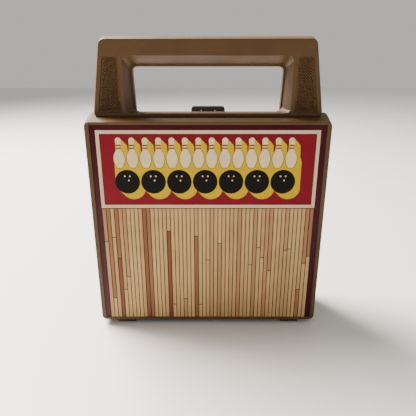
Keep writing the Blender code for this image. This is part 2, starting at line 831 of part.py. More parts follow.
def latch_pin():
    length = 2 * (LATCH_HALF_WIDTH + 2 * CLEARANCE + LATCH_BRACKET)
    pin = rod(
        "latch_pin", (0.0, LATCH_DEPTH, LATCH_PIVOT_Z), length, LATCH_PIN_RADIUS, sides=12,
        collection="bowling_game",
    )
    finish(pin, "steel", STEEL, 0.3, 1.0)
    return pin


# ---------------------------------------------------------------- lane panels


def lane_half_width():
    return case_outline(GUTTER_FLOOR + LANE_THICKNESS, WALL + LANE_FIT).high[1]


def lane_profile():
    """The panel's section as (x, depth): the lane, a gutter on both sides and an outer shelf."""
    outer = lane_half_width()
    shelf = outer - LANE_SHELF
    upper = [
        (LANE_HALF_WIDTH, LANE_SINK),
        (LANE_HALF_WIDTH + GUTTER_SLOPE, GUTTER_FLOOR),
        (shelf - GUTTER_SLOPE, GUTTER_FLOOR),
        (shelf, LANE_SINK),
        (outer, LANE_SINK),
    ]
    below = LANE_THICKNESS
    lower = [
        (outer, LANE_SINK + below),
        (shelf + below, LANE_SINK + below),
        (shelf + below - GUTTER_SLOPE, GUTTER_FLOOR + below),
        (LANE_HALF_WIDTH + GUTTER_SLOPE - below, GUTTER_FLOOR + below),
        (LANE_HALF_WIDTH - below, LANE_SINK + below),
    ]
    right = upper + lower
    return right + [(-x, depth) for x, depth in reversed(right)]


def lane_panel(name, side):
    bottom = case_outline(GUTTER_FLOOR + LANE_THICKNESS, WALL + LANE_FIT).z_low
    section = [(x, side * depth) for x, depth in lane_profile()]
    middle = (0.0, 0.0, (bottom + WELL_FLOOR) / 2)
    panel = solidified(flat(name, [section], WELL_FLOOR - bottom, middle))
    half = well_half_width()
    wall = block(
        f"{name}_wall", (-half, half), sorted((side * LANE_SINK, side * RACK_BACK)),
        (WELL_FLOOR - LANE_THICKNESS, WELL_FLOOR),
    )
    combine(panel, wall, "UNION")
    low = LANE_HALF_WIDTH + GUTTER_SLOPE
    high = lane_half_width() - LANE_SHELF - GUTTER_SLOPE
    for tag, across in (("left", (-high, -low)), ("right", (low, high))):
        mouth = block(
            f"{name}_gutter_mouth_{tag}", across, sorted((-side * WALL, side * GUTTER_FLOOR)),
            (WELL_FLOOR - WALL * 2, WELL_FLOOR + WALL),
        )
        combine(panel, mouth)
    for tag, (x, z) in zip(("left", "right"), screw_places()):
        hole = rod(
            f"{name}_hole_{tag}", (x, side * GUTTER_FLOOR, z), THROUGH * 2 * LANE_THICKNESS,
            SCREW_SHANK_RADIUS + CLEARANCE, "+Y",
        )
        combine(panel, hole)
    finish(panel, "lane_board", MAPLE, 0.3)
    return panel


def lane_screw(name, side, place):
    head = SCREW_HEAD_HEIGHT
    profile = [
        (0.0, 0.0),
        (SCREW_HEAD_RADIUS * HEAD_CROWN, 0.0),
        (SCREW_HEAD_RADIUS, -head * HEAD_SHOULDER),
        (SCREW_HEAD_RADIUS, -head),
        (SCREW_SHANK_RADIUS, -head),
        (SCREW_SHANK_RADIUS, -head - SCREW_LENGTH),
        (0.0, -head - SCREW_LENGTH),
    ]
    x, z = place
    depth = GUTTER_FLOOR - CLEARANCE - head
    screw = turned(name, profile, (x, side * depth, z), "-Y" if side > 0 else "+Y", steps=12)
    finish(screw, "steel", STEEL, 0.3, 1.0)
    return screw


# ---------------------------------------------------------------- pins and rack


def well_half_width():
    return case_outline(RACK_BACK, WALL + CLEARANCE).high[1]


def pin_pitch():
    return (well_half_width() - PIN_ROW_MARGIN - BALL_BAY) / PINS_PER_SIDE


def pin_radius():
    return (pin_pitch() - PIN_SPACING) / 2


def pin_middles():
    """The x of the pins, from left to right."""
    right = [BALL_BAY + pin_pitch() * (i + 0.5) for i in range(PINS_PER_SIDE)]
    return [-x for x in reversed(right)] + right


def neck_radius():
    """The widest that a pin is within the rack's thickness."""
    reach = RACK_THICKNESS / 2 / PIN_HEIGHT
    radii = [
        radius_at(height) for height in (RACK_NECK - reach, RACK_NECK, RACK_NECK + reach)
    ]
    return max(radii) * pin_radius()


def radius_at(share):
    """The profile's radius at a share of the height."""
    for (upper, upper_radius), (lower, lower_radius) in zip(PIN_PROFILE, PIN_PROFILE[1:]):
        if lower <= share <= upper:
            return lower_radius + (upper_radius - lower_radius) * (share - lower) / (upper - lower)
    return 0.0


def bowling_pin(name, x):
    profile = [(radius * pin_radius(), height * PIN_HEIGHT) for height, radius in PIN_PROFILE]
    pin = turned(name, profile, (x, PIN_DEPTH, WELL_FLOOR + CLEARANCE), steps=PIN_STEPS)
    finish(pin, "white_plastic", WHITE, 0.3)
    return pin


def notch(x, depth, radius, segments):
    """A round-bottomed notch in the rack's front edge, from left to right."""
    start = math.asin((RACK_FRONT - depth) / radius) if depth < RACK_FRONT else 0.0
    arc = [
        (x - radius * math.cos(angle), depth + radius * math.sin(angle))
        for angle in (start + (math.pi - 2 * start) * i / segments for i in range(segments + 1))
    ]
    if depth < RACK_FRONT:
        return arc
    return [(x - radius, RACK_FRONT), *arc, (x + radius, RACK_FRONT)]


def storage_rack():
    half = well_half_width()
    front = []
    for x in pin_middles():
        if x > 0 and x - pin_pitch() < BALL_BAY:
            front += notch(0.0, BALL_CENTRE[1], BALL_RADIUS + RACK_PLAY, 16)
        front += notch(x, PIN_DEPTH, neck_radius() + RACK_PLAY, 6)
    outline = [(-half, RACK_BACK), (-half, RACK_FRONT), *front, (half, RACK_FRONT), (half, RACK_BACK)]
    middle = (0.0, 0.0, RACK_LOW + RACK_THICKNESS / 2)
    rack = flat("storage_rack", [outline], RACK_THICKNESS, middle)
    finish(rack, "tan_plastic", TAN, 0.45)
    return rack


# ---------------------------------------------------------------- walking ball


def in_ball(y, z):
    return BALL_CENTRE[1] + y, BALL_CENTRE[2] + z


def half_ball(name, sign):
    """One half of the ball, with the slot that its leg swings in."""
    edge = BALL_SEAM / 2
    inner = BALL_RADIUS - BALL_WALL
    outer_arc = [math.pi / 2 * (1 - i / BALL_ARC_STEPS) for i in range(BALL_ARC_STEPS)]
    profile = [(BALL_RADIUS * math.cos(a), BALL_RADIUS * math.sin(a)) for a in outer_arc]
    profile[0] = (0.0, BALL_RADIUS)
    profile += [(BALL_RADIUS, edge), (inner, edge)]
    profile += [(inner * math.cos(a), inner * math.sin(a)) for a in reversed(outer_arc)]
    profile[-1] = (0.0, inner)
    shell = turned(name, profile, BALL_CENTRE, "+X" if sign > 0 else "-X", steps=BALL_STEPS)
    across = sorted((sign * (LEG_NEAR - CLEARANCE), sign * (LEG_NEAR + LEG_THICKNESS + CLEARANCE)))
    reach = LEG_HALF_WIDTH + CRANK_THROW + 2 * CLEARANCE
    y, z = in_ball(0.0, -BALL_RADIUS / 2)
    slot = block(f"{name}_leg_slot", across, (y - reach, y + reach), (z - BALL_RADIUS, z))
    combine(shell, slot)
    hole_y, hole_z = in_ball(0.0, WIND_HEIGHT)
    if sign > 0:
        hole = rod(
            "wind_hole", (BALL_RADIUS, hole_y, hole_z), 2 * BALL_RADIUS - 2 * FRAME_OUTSIDE,
            SHAFT_RADIUS + 2 * CLEARANCE, sides=12,
        )
        combine(shell, hole)
    finish(shell, "black_plastic", BLACK, 0.2)
    return shell


def add_finger_holes(left, right):
    """Three shallow finger holes, sunk square to the surface high on the ball's front."""
    for number, (half, turn, rise) in enumerate(FINGER_HOLES):
        shell = left if half == "left" else right
        azimuth, elevation = math.radians(turn), math.radians(rise)
        outward = (
            math.sin(azimuth) * math.cos(elevation),
            -math.cos(azimuth) * math.cos(elevation),
            math.sin(elevation),
        )
        out = BALL_RADIUS + FINGER_HOLE_SINK
        middle = [BALL_CENTRE[i] + outward[i] * out for i in range(3)]
        length = THROUGH * 2 * FINGER_HOLE_SINK
        hole = rod(f"finger_hole_{number}", middle, length, FINGER_HOLE_RADIUS, "+Z", 12)
        hole.rotation_euler = (math.pi / 2 - elevation, 0.0, azimuth)
        combine(shell, hole)


def idler_place():
    """Where the idler's centre lies, from its distances to the wind shaft and the crank axle."""
    to_drive = DRIVE_RADIUS + IDLER_PINION_RADIUS
    to_crank = IDLER_RADIUS + CRANK_GEAR_RADIUS
    apart = WIND_HEIGHT - CRANK_HEIGHT
    along = (to_drive**2 - to_crank**2 + apart**2) / (2 * apart)
    return math.sqrt(to_drive**2 - along**2), WIND_HEIGHT - along


def tooth_outline(teeth, phase):
    """A gear's outline in (y, z), with a tooth centred at the phase angle."""
    radius = GEAR_MODULE * teeth / 2
    tip, root = radius + TOOTH_ADDENDUM * GEAR_MODULE, radius - TOOTH_DEDENDUM * GEAR_MODULE
    low, high = TOOTH_ROOT_SHARE, TOOTH_TIP_SHARE
    pitch = 2 * math.pi / teeth
    outline = []
    for i in range(teeth):
        middle = phase + i * pitch
        for r, offset in ((root, -low), (tip, -high), (tip, high), (root, low)):
            angle = middle + offset * pitch
            outline.append((r * math.cos(angle), r * math.sin(angle)))
    return outline


def gear(name, teeth, phase, place, left, thickness, bore, collection="bowling_game"):
    """A gear on an axis along X. Its left face is at this x, and a place is (y, z) in the ball."""
    outlines = [across_x(tooth_outline(teeth, phase)), circle(bore, points=12)]
    y, z = in_ball(*place)
    return flat(name, outlines, thickness, (left + thickness / 2, y, z), "+X", collection)


def gear_train():
    """The drive gear, the idler with its pinion, and the crank pinion, in mesh."""
    idler = idler_place()
    to_idler = math.atan2(idler[1] - WIND_HEIGHT, idler[0])
    to_crank = math.atan2(CRANK_HEIGHT - idler[1], -idler[0])
    gap = math.pi / IDLER_PINION_TEETH
    wide = GEAR_THICKNESS + 2 * PINION_OVERHANG
    drive = gear(
        "drive_gear", DRIVE_TEETH, to_idler, (0.0, WIND_HEIGHT), DRIVE_LEFT, GEAR_THICKNESS,
        SHAFT_RADIUS + SHAFT_PLAY,
    )
    bore = AXLE_RADIUS + SHAFT_PLAY
    wheel = solidified(
        gear("idler_gear", IDLER_TEETH, to_crank, idler, IDLER_LEFT, GEAR_THICKNESS, bore)
    )
    pinion_left = DRIVE_LEFT - PINION_OVERHANG
    pinion = gear(
        "idler_pinion", IDLER_PINION_TEETH, to_idler + math.pi + gap, idler, pinion_left,
        IDLER_LEFT - pinion_left + PINION_OVERHANG, bore, "cutters",
    )
    combine(wheel, solidified(pinion), "UNION")
    crank = gear(
        "crank_pinion", CRANK_TEETH, to_crank + math.pi + math.pi / CRANK_TEETH,
        (0.0, CRANK_HEIGHT), IDLER_LEFT - PINION_OVERHANG, wide, bore,
    )
    for wheel_or_pinion in (drive, wheel, crank):
        finish(wheel_or_pinion, "brass", BRASS, 0.35, 1.0)
    return drive, wheel, crank


def plate(name, left, extra_holes=()):
    holes = [
        circle(SHAFT_RADIUS + SHAFT_PLAY, (0.0, WIND_HEIGHT), 12),
        circle(AXLE_RADIUS + SHAFT_PLAY, (0.0, CRANK_HEIGHT), 12),
        circle(AXLE_RADIUS + SHAFT_PLAY, idler_place(), 12),
        *extra_holes,
    ]
    outlines = [across_x(outline) for outline in (plate_outline(), *holes)]
    middle = (left + FRAME_PLATE / 2, *BALL_CENTRE[1:])
    return solidified(flat(name, outlines, FRAME_PLATE, middle, "+X"))


def movement_frame():
    """The left plate with its three posts."""
    frame = plate("movement_frame", -FRAME_OUTSIDE)
    length = 2 * FRAME_HALF_GAP + FRAME_PLATE / 2 - CLEARANCE
    middle = FRAME_HALF_GAP - CLEARANCE - length / 2
    for number, (y, z) in enumerate(frame_posts()):
        post = rod(f"frame_post_{number}", (middle, *in_ball(y, z)), length, POST_RADIUS, sides=12)
        combine(frame, post, "UNION")
    for number, (y, z) in enumerate(frame_posts()[:2]):
        depth = movement_screw_length() + CLEARANCE
        pilot = rod(
            f"frame_pilot_{number}", (FRAME_HALF_GAP, *in_ball(y, z)), 2 * depth,
            movement_screw_radius() + SHAFT_PLAY, sides=10,
        )
        combine(frame, pilot)
    finish(frame, "zinc_plate", STEEL, 0.4, 1.0)
    return frame


def movement_screw_radius():
    return POST_RADIUS / 2


def movement_screw_length():
    return FRAME_HALF_GAP / 2


def movement_cover():
    holes = [
        circle(movement_screw_radius() + SHAFT_PLAY, place, 10) for place in frame_posts()[:2]
    ]
    cover = plate("movement_cover", FRAME_HALF_GAP, holes)
    finish(cover, "zinc_plate", STEEL, 0.4, 1.0)
    return cover


def movement_screw(name, place):
    radius, length = movement_screw_radius(), movement_screw_length()
    head, head_radius = MOVEMENT_HEAD, 2 * radius - SHAFT_PLAY / 2
    under = FRAME_PLATE + SHAFT_PLAY
    profile = [
        (0.0, head),
        (head_radius * HEAD_CROWN, head),
        (head_radius, head * HEAD_SHOULDER),
        (head_radius, 0.0),
        (radius, 0.0),
        (radius, -under - length),
        (0.0, -under - length),
    ]
    y, z = in_ball(*place)
    screw = turned(name, profile, (FRAME_OUTSIDE + SHAFT_PLAY, y, z), "+X", steps=10)
    finish(screw, "steel", STEEL, 0.3, 1.0)
    return screw


def mainspring():
    """A flat strip wound in a spiral round the wind shaft."""
    steps = int(SPRING_TURNS * SPRING_STEPS_PER_TURN)
    outer, inner = [], []
    for i in range(steps + 1):
        share = i / steps
        angle = 2 * math.pi * SPRING_TURNS * share
        radius = SPRING_INNER + (SPRING_OUTER - SPRING_INNER) * share
        for side, edge in ((outer, SPRING_STRIP / 2), (inner, -SPRING_STRIP / 2)):
            side.append(((radius + edge) * math.cos(angle), (radius + edge) * math.sin(angle)))
    outline = across_x(outer + inner[::-1])
    y, z = in_ball(0.0, WIND_HEIGHT)
    spring = flat("mainspring", [outline], SPRING_WIDTH, (SPRING_LEFT + SPRING_WIDTH / 2, y, z), "+X")
    finish(spring, "spring_steel", STEEL, 0.35, 1.0)
    return spring


def shaft(name, low, high, radius, place):
    y, z = in_ball(*place)
    obj = rod(name, ((low + high) / 2, y, z), high - low, radius, sides=12, collection="bowling_game")
    finish(obj, "steel", STEEL, 0.3, 1.0)
    return obj


def wind_knob():
    """A fluted knob that covers the end of the wind shaft."""
    outline = []
    for i in range(4 * KNOB_LOBES):
        angle = 2 * math.pi * i / (4 * KNOB_LOBES)
        radius = KNOB_RADIUS - KNOB_LOBE_DEPTH * (1 - math.cos(KNOB_LOBES * angle))
        outline.append((radius * math.cos(angle), radius * math.sin(angle)))
    y, z = in_ball(0.0, WIND_HEIGHT)
    middle = (KNOB_NEAR + KNOB_LENGTH / 2, y, z)
    knob = solidified(flat("wind_knob", [across_x(outline)], KNOB_LENGTH, middle, "+X"))
    bore = rod(
        "knob_bore", (KNOB_NEAR, y, z), 2 * (KNOB_LENGTH - 3 * CLEARANCE), SHAFT_RADIUS + SHAFT_PLAY,
        sides=12,
    )
    combine(knob, bore)
    finish(knob, "white_plastic", WHITE, 0.3)
    return knob


def crank(name, sign, throw):
    """A disc on the end of the crank axle with the pin that its leg hangs on."""
    y, z = in_ball(0.0, CRANK_HEIGHT)
    disc = rod(
        name, (sign * (CRANK_DISC_NEAR + CRANK_DISC / 2), y, z), CRANK_DISC, CRANK_DISC_RADIUS,
        sides=20, collection="bowling_game",
    )
    low = CRANK_DISC_NEAR + CRANK_DISC / 2
    high = LEG_NEAR + LEG_THICKNESS
    middle = (sign * (low + high) / 2, y, z + throw)
    pin = rod(f"{name}_pin", middle, high - low, CRANK_PIN_RADIUS, sides=12)
    combine(disc, pin, "UNION")
    finish(disc, "white_plastic", WHITE, 0.3)
    return disc


def foot_with_leg(name, sign, throw):
    """A leg that hangs on the crank pin, with an oval shoe below the ball."""
    hole_z = CRANK_HEIGHT + throw
    lift = throw + CRANK_THROW
    y, z = in_ball(0.0, hole_z)
    top = LEG_HALF_WIDTH
    bottom = SHOE_TOP + lift - hole_z - CLEARANCE
    arc = [
        (top * math.cos(a), top * math.sin(a)) for a in (math.pi * i / 8 for i in range(9))
    ]
    outline = [(LEG_HALF_WIDTH, bottom), *arc, (-LEG_HALF_WIDTH, bottom)]
    hole = circle(CRANK_PIN_RADIUS + SHAFT_PLAY, points=12)
    outlines = [across_x(outline), across_x(hole)]
    leg = solidified(flat(name, outlines, LEG_THICKNESS, (sign * LEG_MIDDLE, y, z), "+X"))
    bm = bmesh.new()
    bmesh.ops.create_cone(
        bm, cap_ends=True, segments=20, radius1=SHOE_HALF_WIDTH, radius2=SHOE_HALF_WIDTH,
        depth=SHOE_HEIGHT,
    )
    bmesh.ops.scale(bm, vec=(1.0, SHOE_HALF_LENGTH / SHOE_HALF_WIDTH, 1.0), verts=bm.verts)
    rim = [edge for edge in bm.edges if all(vert.co.z > 0 for vert in edge.verts)]
    bmesh.ops.bevel(bm, geom=rim, offset=SHOE_ROUNDING, segments=2, affect="EDGES", profile=0.5)
    shoe = mesh_object(f"{name}_shoe", bm, "cutters")
    shoe_y, shoe_z = in_ball(-SHOE_FORWARD, SHOE_TOP + lift - SHOE_HEIGHT / 2)
    shoe.location = (sign * LEG_MIDDLE, shoe_y, shoe_z)
    combine(leg, shoe, "UNION")
    finish(leg, "orange_plastic", ORANGE, 0.35)
    return leg


# ---------------------------------------------------------------- assembly


def clear_scene():
    for obj in list(bpy.data.objects):
        bpy.data.objects.remove(obj)
    for name in ("bowling_game", "cutters"):
        collection = bpy.data.collections.new(name)
        bpy.context.scene.collection.children.link(collection)


def build_case():
    case_shell("back_shell", 1)
    back_lane = [lane_panel("back_lane", 1)]
    for tag, place in zip(("left", "right"), screw_places()):
        back_lane.append(lane_screw(f"back_lane_screw_{tag}", 1, place))
    hinge = pivot("case_hinge", (0.0, 0.0, HINGE_HEIGHT))
    swinging = [case_shell("front_shell", -1), front_label(), lane_panel("front_lane", -1)]
    for tag, place in zip(("left", "right"), screw_places()):
        swinging.append(lane_screw(f"front_lane_screw_{tag}", -1, place))
    for piece in swinging:
        ride(piece, hinge)
    hinge_pin("hinge_pin_left", -HINGE_X)
    hinge_pin("hinge_pin_right", HINGE_X)


def build_latch():
    rocker = pivot("latch_pivot", (0.0, LATCH_DEPTH, LATCH_PIVOT_Z))
    ride(latch_tab(), rocker)
    latch_pin()


def build_pins():
    storage_rack()
    for number, x in enumerate(pin_middles(), start=1):
        bowling_pin(f"pin_{number}", x)


def build_walker():
    walker = pivot("walker_slide", BALL_CENTRE)
    left, right = half_ball("ball_shell_left", -1), half_ball("ball_shell_right", 1)
    add_finger_holes(left, right)
    fixed = [left, right, movement_frame(), movement_cover(), mainspring()]
    for tag, place in zip(("rear", "front"), frame_posts()):
        fixed.append(movement_screw(f"movement_screw_{tag}", place))
    for piece in fixed:
        ride(piece, walker)

    drive, idler, crank_pinion = gear_train()
    wind_shaft = shaft(
        "wind_shaft", -FRAME_OUTSIDE, KNOB_NEAR + KNOB_LENGTH - 4 * CLEARANCE, SHAFT_RADIUS,
        (0.0, WIND_HEIGHT),
    )
    idler_axle = shaft("idler_axle", -FRAME_OUTSIDE, FRAME_OUTSIDE, AXLE_RADIUS, idler_place())
    reach = CRANK_DISC_NEAR - SHAFT_PLAY
    crank_axle = shaft("crank_axle", -reach, reach, AXLE_RADIUS, (0.0, CRANK_HEIGHT))
    turning = (
        ("wind_axis", (0.0, WIND_HEIGHT), (drive, wind_shaft, wind_knob())),
        ("idler_axis", idler_place(), (idler, idler_axle)),
        (
            "crank_axis",
            (0.0, CRANK_HEIGHT),
            (
                crank_pinion, crank_axle, crank("left_crank", -1, CRANK_THROW),
                crank("right_crank", 1, -CRANK_THROW),
            ),
        ),
    )
    for name, place, pieces in turning:
        axis = pivot(name, (0.0, *in_ball(*place)))
        for piece in pieces:
            ride(piece, axis)
    for name, sign, throw in (("left_foot", -1, CRANK_THROW), ("right_foot", 1, -CRANK_THROW)):
        axis = pivot(f"{name}_axis", (sign * LEG_MIDDLE, *in_ball(0.0, CRANK_HEIGHT + throw)))
        ride(foot_with_leg(name, sign, throw), axis)


def main():
    clear_scene()
    build_case()
    build_latch()
    build_pins()
    build_walker()


main()
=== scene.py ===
"""Looks of a carry-case bowling game: a moulded case with a printed front, opened on a lane.

Units are metres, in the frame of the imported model: +X right, -Y to the front, +Z up. Each
sub-assembly is a class with its sizes as fields, and each finish is a small frozen class.
"""

import json
import logging
import math
from dataclasses import dataclass
from enum import Enum

import bmesh
import bpy
from mathutils import Matrix, Vector

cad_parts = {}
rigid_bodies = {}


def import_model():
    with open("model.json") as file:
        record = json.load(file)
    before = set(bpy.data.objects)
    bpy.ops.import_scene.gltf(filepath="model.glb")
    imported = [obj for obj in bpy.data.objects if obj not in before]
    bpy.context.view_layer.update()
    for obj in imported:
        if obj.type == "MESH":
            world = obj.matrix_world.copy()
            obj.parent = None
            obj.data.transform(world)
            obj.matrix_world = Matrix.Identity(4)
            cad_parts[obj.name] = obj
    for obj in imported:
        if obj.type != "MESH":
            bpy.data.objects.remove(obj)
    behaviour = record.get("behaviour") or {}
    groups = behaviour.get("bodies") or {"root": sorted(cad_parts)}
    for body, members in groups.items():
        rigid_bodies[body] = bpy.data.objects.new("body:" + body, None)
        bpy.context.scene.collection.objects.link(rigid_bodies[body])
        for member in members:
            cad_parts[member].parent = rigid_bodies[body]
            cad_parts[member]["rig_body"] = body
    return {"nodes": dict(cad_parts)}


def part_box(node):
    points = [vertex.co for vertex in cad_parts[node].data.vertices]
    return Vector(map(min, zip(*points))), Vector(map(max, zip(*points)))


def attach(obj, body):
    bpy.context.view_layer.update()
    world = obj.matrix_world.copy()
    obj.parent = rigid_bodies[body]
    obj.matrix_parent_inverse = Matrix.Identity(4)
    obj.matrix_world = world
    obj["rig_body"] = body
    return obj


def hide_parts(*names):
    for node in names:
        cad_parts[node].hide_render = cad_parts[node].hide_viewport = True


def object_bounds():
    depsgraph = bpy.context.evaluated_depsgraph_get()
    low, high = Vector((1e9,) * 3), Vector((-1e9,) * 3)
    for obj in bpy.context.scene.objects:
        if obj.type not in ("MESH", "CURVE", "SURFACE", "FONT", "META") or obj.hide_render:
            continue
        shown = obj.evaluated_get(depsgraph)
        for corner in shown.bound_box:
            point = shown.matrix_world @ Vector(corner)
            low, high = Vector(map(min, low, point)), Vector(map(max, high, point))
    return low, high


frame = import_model()
CAD_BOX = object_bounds()
LOG = logging.getLogger("bowling_game")
MM = 0.001

# The angle in degrees above which an edge counts as sharp.
SHARP_ABOVE = 32.0
# Loose triangles of a CAD mesh are joined where their corners lie this close.
JOIN_DISTANCE = 0.002 * MM
# Faces that meet at less than this angle in degrees are one flat face.
FLAT_WITHIN = 0.5
# The steps between two points of a pin's outline.
OUTLINE_STEPS = 4
# Nearly all of a noise texture's values lie between these.
NOISE_LOW = 0.3
NOISE_HIGH = 0.7

Outline = list[tuple[float, float]]
Tree = bpy.types.NodeTree
Node = bpy.types.Node
Socket = bpy.types.NodeSocket


class Slot(Enum):
    """The record's material slots."""

    TAN = "tan_plastic"
    DARK = "dark_plastic"
    PRINT = "printed_paper"
    LANE = "lane_board"
    STEEL = "steel"
    SPRING = "spring_steel"
    ZINC = "zinc_plate"
    BRASS = "brass"
    WHITE = "white_plastic"
    BLACK = "black_plastic"
    ORANGE = "orange_plastic"


class Half(Enum):
    """The two halves of the case, by the side of the parting plane they lie on."""

    FRONT = -1
    BACK = 1


# ---------------------------------------------------------------- shader helpers


def linear(code: str) -> tuple[float, float, float, float]:
    """Turns an sRGB hex colour into a linear one.

    Args:
        code: six hex digits after a hash sign.

    Returns:
        Linear red, green and blue, and an alpha of 1.
    """
    shares = [int(code[i : i + 2], 16) / 255 for i in (1, 3, 5)]
    red, green, blue = [
        share / 12.92 if share <= 0.04045 else ((share + 0.055) / 1.055) ** 2.4 for share in shares
    ]
    return red, green, blue, 1.0


def add(tree: Tree, kind: str, inputs: dict | None = None, **settings: object) -> Node:
    """Adds a node with its settings and its links.

    Args:
        tree: the tree that the node goes in.
        kind: the node's type name.
        inputs: a value or an output socket for each input, by name or number.
        settings: the node's own properties.

    Returns:
        The new node.
    """
    node = tree.nodes.new(kind)
    for key, value in settings.items():
        setattr(node, key, value)
    for key, value in (inputs or {}).items():
        if isinstance(value, Socket):
            tree.links.new(value, node.inputs[key])
        else:
            node.inputs[key].default_value = value
    return node


# ---------------------------------------------------------------- finishes


@dataclass(frozen=True)
class Finish:
    """A surface finish. Each kind says in dress() how its colour and texture vary."""

    name: str
    slot: Slot
    colour: str
    roughness: float
    ior: float = 1.5
    metallic: float = 0.0
    shine: float = 0.5

    def material(self) -> bpy.types.Material:
        """Returns the finish's material, which is made at its first use."""
        found = bpy.data.materials.get(self.name)
        if found:
            return found
        material = bpy.data.materials.new(self.name)
        material.use_nodes = True
        tree = material.node_tree
        shader = tree.nodes["Principled BSDF"]
        shader.inputs["Metallic"].default_value = self.metallic
        if not self.metallic:
            shader.inputs["IOR"].default_value = self.ior
            shader.inputs["Specular IOR Level"].default_value = self.shine
        self.dress(tree, shader, add(tree, "ShaderNodeTexCoord").outputs["Object"])
        return material

    def dress(self, tree: Tree, shader: Node, place: Socket) -> None:
        """Links colour, roughness and bump.

        Args:
            tree: the material's node tree.
            shader: its Principled BSDF.
            place: the Object coordinates, in metres.
        """
        raise NotImplementedError

    def link(self, tree: Tree, shader: Node, colour: Node, rough: Node, bump: Node | None) -> None:
        """Links the finish's three results to the shader.

        Args:
            tree: the material's node tree.
            shader: its Principled BSDF.
            colour: the Mix node that ends the colour.
            rough: the node that ends the roughness.
            bump: the Bump node, if the finish has one.
        """
        tree.links.new(colour.outputs[2], shader.inputs["Base Color"])
        tree.links.new(rough.outputs[0], shader.inputs["Roughness"])
        if bump:
            tree.links.new(bump.outputs[0], shader.inputs["Normal"])


@dataclass(frozen=True)
class MouldedPlastic(Finish):
    """Injection-moulded styrene: a satin, spark-textured skin, rubbed shiny and pale in places."""

    wear_and_shade: str = "#A98A62"
    wear: float = 0.35
    # Clouds of handling wear are about as wide as a thumb. They darken and brighten the colour by this.
    cloud: float = 31.25 * MM
    cloud_range: tuple[float, float] = (0.35, 0.7)
    cloud_tone: tuple[float, float] = (0.86, 1.08)
    # Where the clouds are high the skin is rubbed smoother, and where they are low it is duller.
    dulled: float = 0.08
    rubbed: float = 0.07
    # Scuffs are a few millimetres long. Real ones are finer than their 0.4 mm here, which just shows.
    scuff_length: float = 2.778 * MM
    scuff_width: float = 0.3968 * MM
    scuff_turn: tuple[float, float, float] = (0.3, 0.9, 0.4)
    scuff_range: tuple[float, float] = (0.66, 0.8)
    # A spark texture has pits of 0.05 to 0.1 mm. It is drawn at 0.45 mm, as fine as still shows.
    grain: float = 0.45 * MM
    grain_height: float = 0.012 * MM
    grain_strength: float = 0.8

    def dress(self, tree: Tree, shader: Node, place: Socket) -> None:
        """Links a fine mould texture, cloudy handling wear and thin pale scuffs.

        Args:
            tree: the material's node tree.
            shader: its Principled BSDF.
            place: the Object coordinates, in metres.
        """
        clouds = add(tree, "ShaderNodeTexNoise", {"Vector": place, "Scale": 1 / self.cloud, "Detail": 4.0})
        (low, high), (dark, pale) = self.cloud_range, self.cloud_tone
        tone = add(
            tree, "ShaderNodeMapRange", {0: clouds.outputs[0], 1: low, 2: high, 3: dark, 4: pale}
        )
        base = add(
            tree, "ShaderNodeMix", {0: 1.0, 6: linear(self.colour), 7: tone.outputs[0]},
            data_type="RGBA", blend_type="MULTIPLY",
        )
        stretch = (1 / self.scuff_length, 1 / self.scuff_length, 1 / self.scuff_width)
        run = add(tree, "ShaderNodeMapping", {0: place, 2: self.scuff_turn, 3: stretch})
        scratches = add(
            tree, "ShaderNodeTexNoise", {"Vector": run.outputs[0], "Scale": 1.0, "Detail": 6.0}
        )
        first, full = self.scuff_range
        scuff = add(
            tree, "ShaderNodeMapRange",
            {0: scratches.outputs[0], 1: first, 2: full, 3: 0.0, 4: self.wear},
        )
        colour = add(
            tree, "ShaderNodeMix",
            {0: scuff.outputs[0], 6: base.outputs[2], 7: linear(self.wear_and_shade)}, data_type="RGBA",
        )
        rough = add(
            tree, "ShaderNodeMapRange",
            {
                0: clouds.outputs[0], 1: NOISE_LOW, 2: NOISE_HIGH,
                3: self.roughness + self.dulled, 4: self.roughness - self.rubbed,
            },
        )
        grain = add(
            tree, "ShaderNodeTexNoise", {"Vector": place, "Scale": 1 / self.grain, "Detail": 2.0}
        )
        bump = add(
            tree, "ShaderNodeBump",
            {"Height": grain.outputs[0], "Distance": self.grain_height, "Strength": self.grain_strength},
        )
        self.link(tree, shader, colour, rough, bump)


@dataclass(frozen=True)
class GripPlastic(MouldedPlastic):
    """The moulded plastic of the knurled panels, with painted shade in the valleys between the diamonds and
    a painted highlight on their crests.
    """

    # How far the knurl's floor and its crests lie from the parting plane.
    valley: float = 0.0
    crest: float = 1 * MM
    # How much of the plastic's colour is left in the valleys under painted shade, and how much it is
    # lightened on the crests by a painted highlight.
    valley_shade: float = 0.8
    crest_highlight: float = 1.15

    def dress(self, tree: Tree, shader: Node, place: Socket) -> None:
        """Links painted shade that darkens towards the panel's floor, and a painted highlight that lightens
        the crests.

        Args:
            tree: the material's node tree.
            shader: its Principled BSDF.
            place: the Object coordinates, in metres.
        """
        super().dress(tree, shader, place)
        clean_and_unshaded = shader.inputs["Base Color"].links[0].from_socket
        depth = add(tree, "ShaderNodeSeparateXYZ", {0: place}).outputs[1]
        reach = add(tree, "ShaderNodeMath", {0: depth}, operation="ABSOLUTE")
        # Painted shade darkens the knurl towards its valleys, and a painted highlight lightens its crests.
        painted_shade = add(
            tree, "ShaderNodeMapRange",
            {0: reach.outputs[0], 1: self.valley, 2: self.crest, 3: self.valley_shade, 4: self.crest_highlight},
        )
        wear_and_shade = add(
            tree, "ShaderNodeMix", {0: 1.0, 6: clean_and_unshaded, 7: painted_shade.outputs[0]},
            data_type="RGBA", blend_type="MULTIPLY",
        )
        tree.links.new(wear_and_shade.outputs[2], shader.inputs["Base Color"])


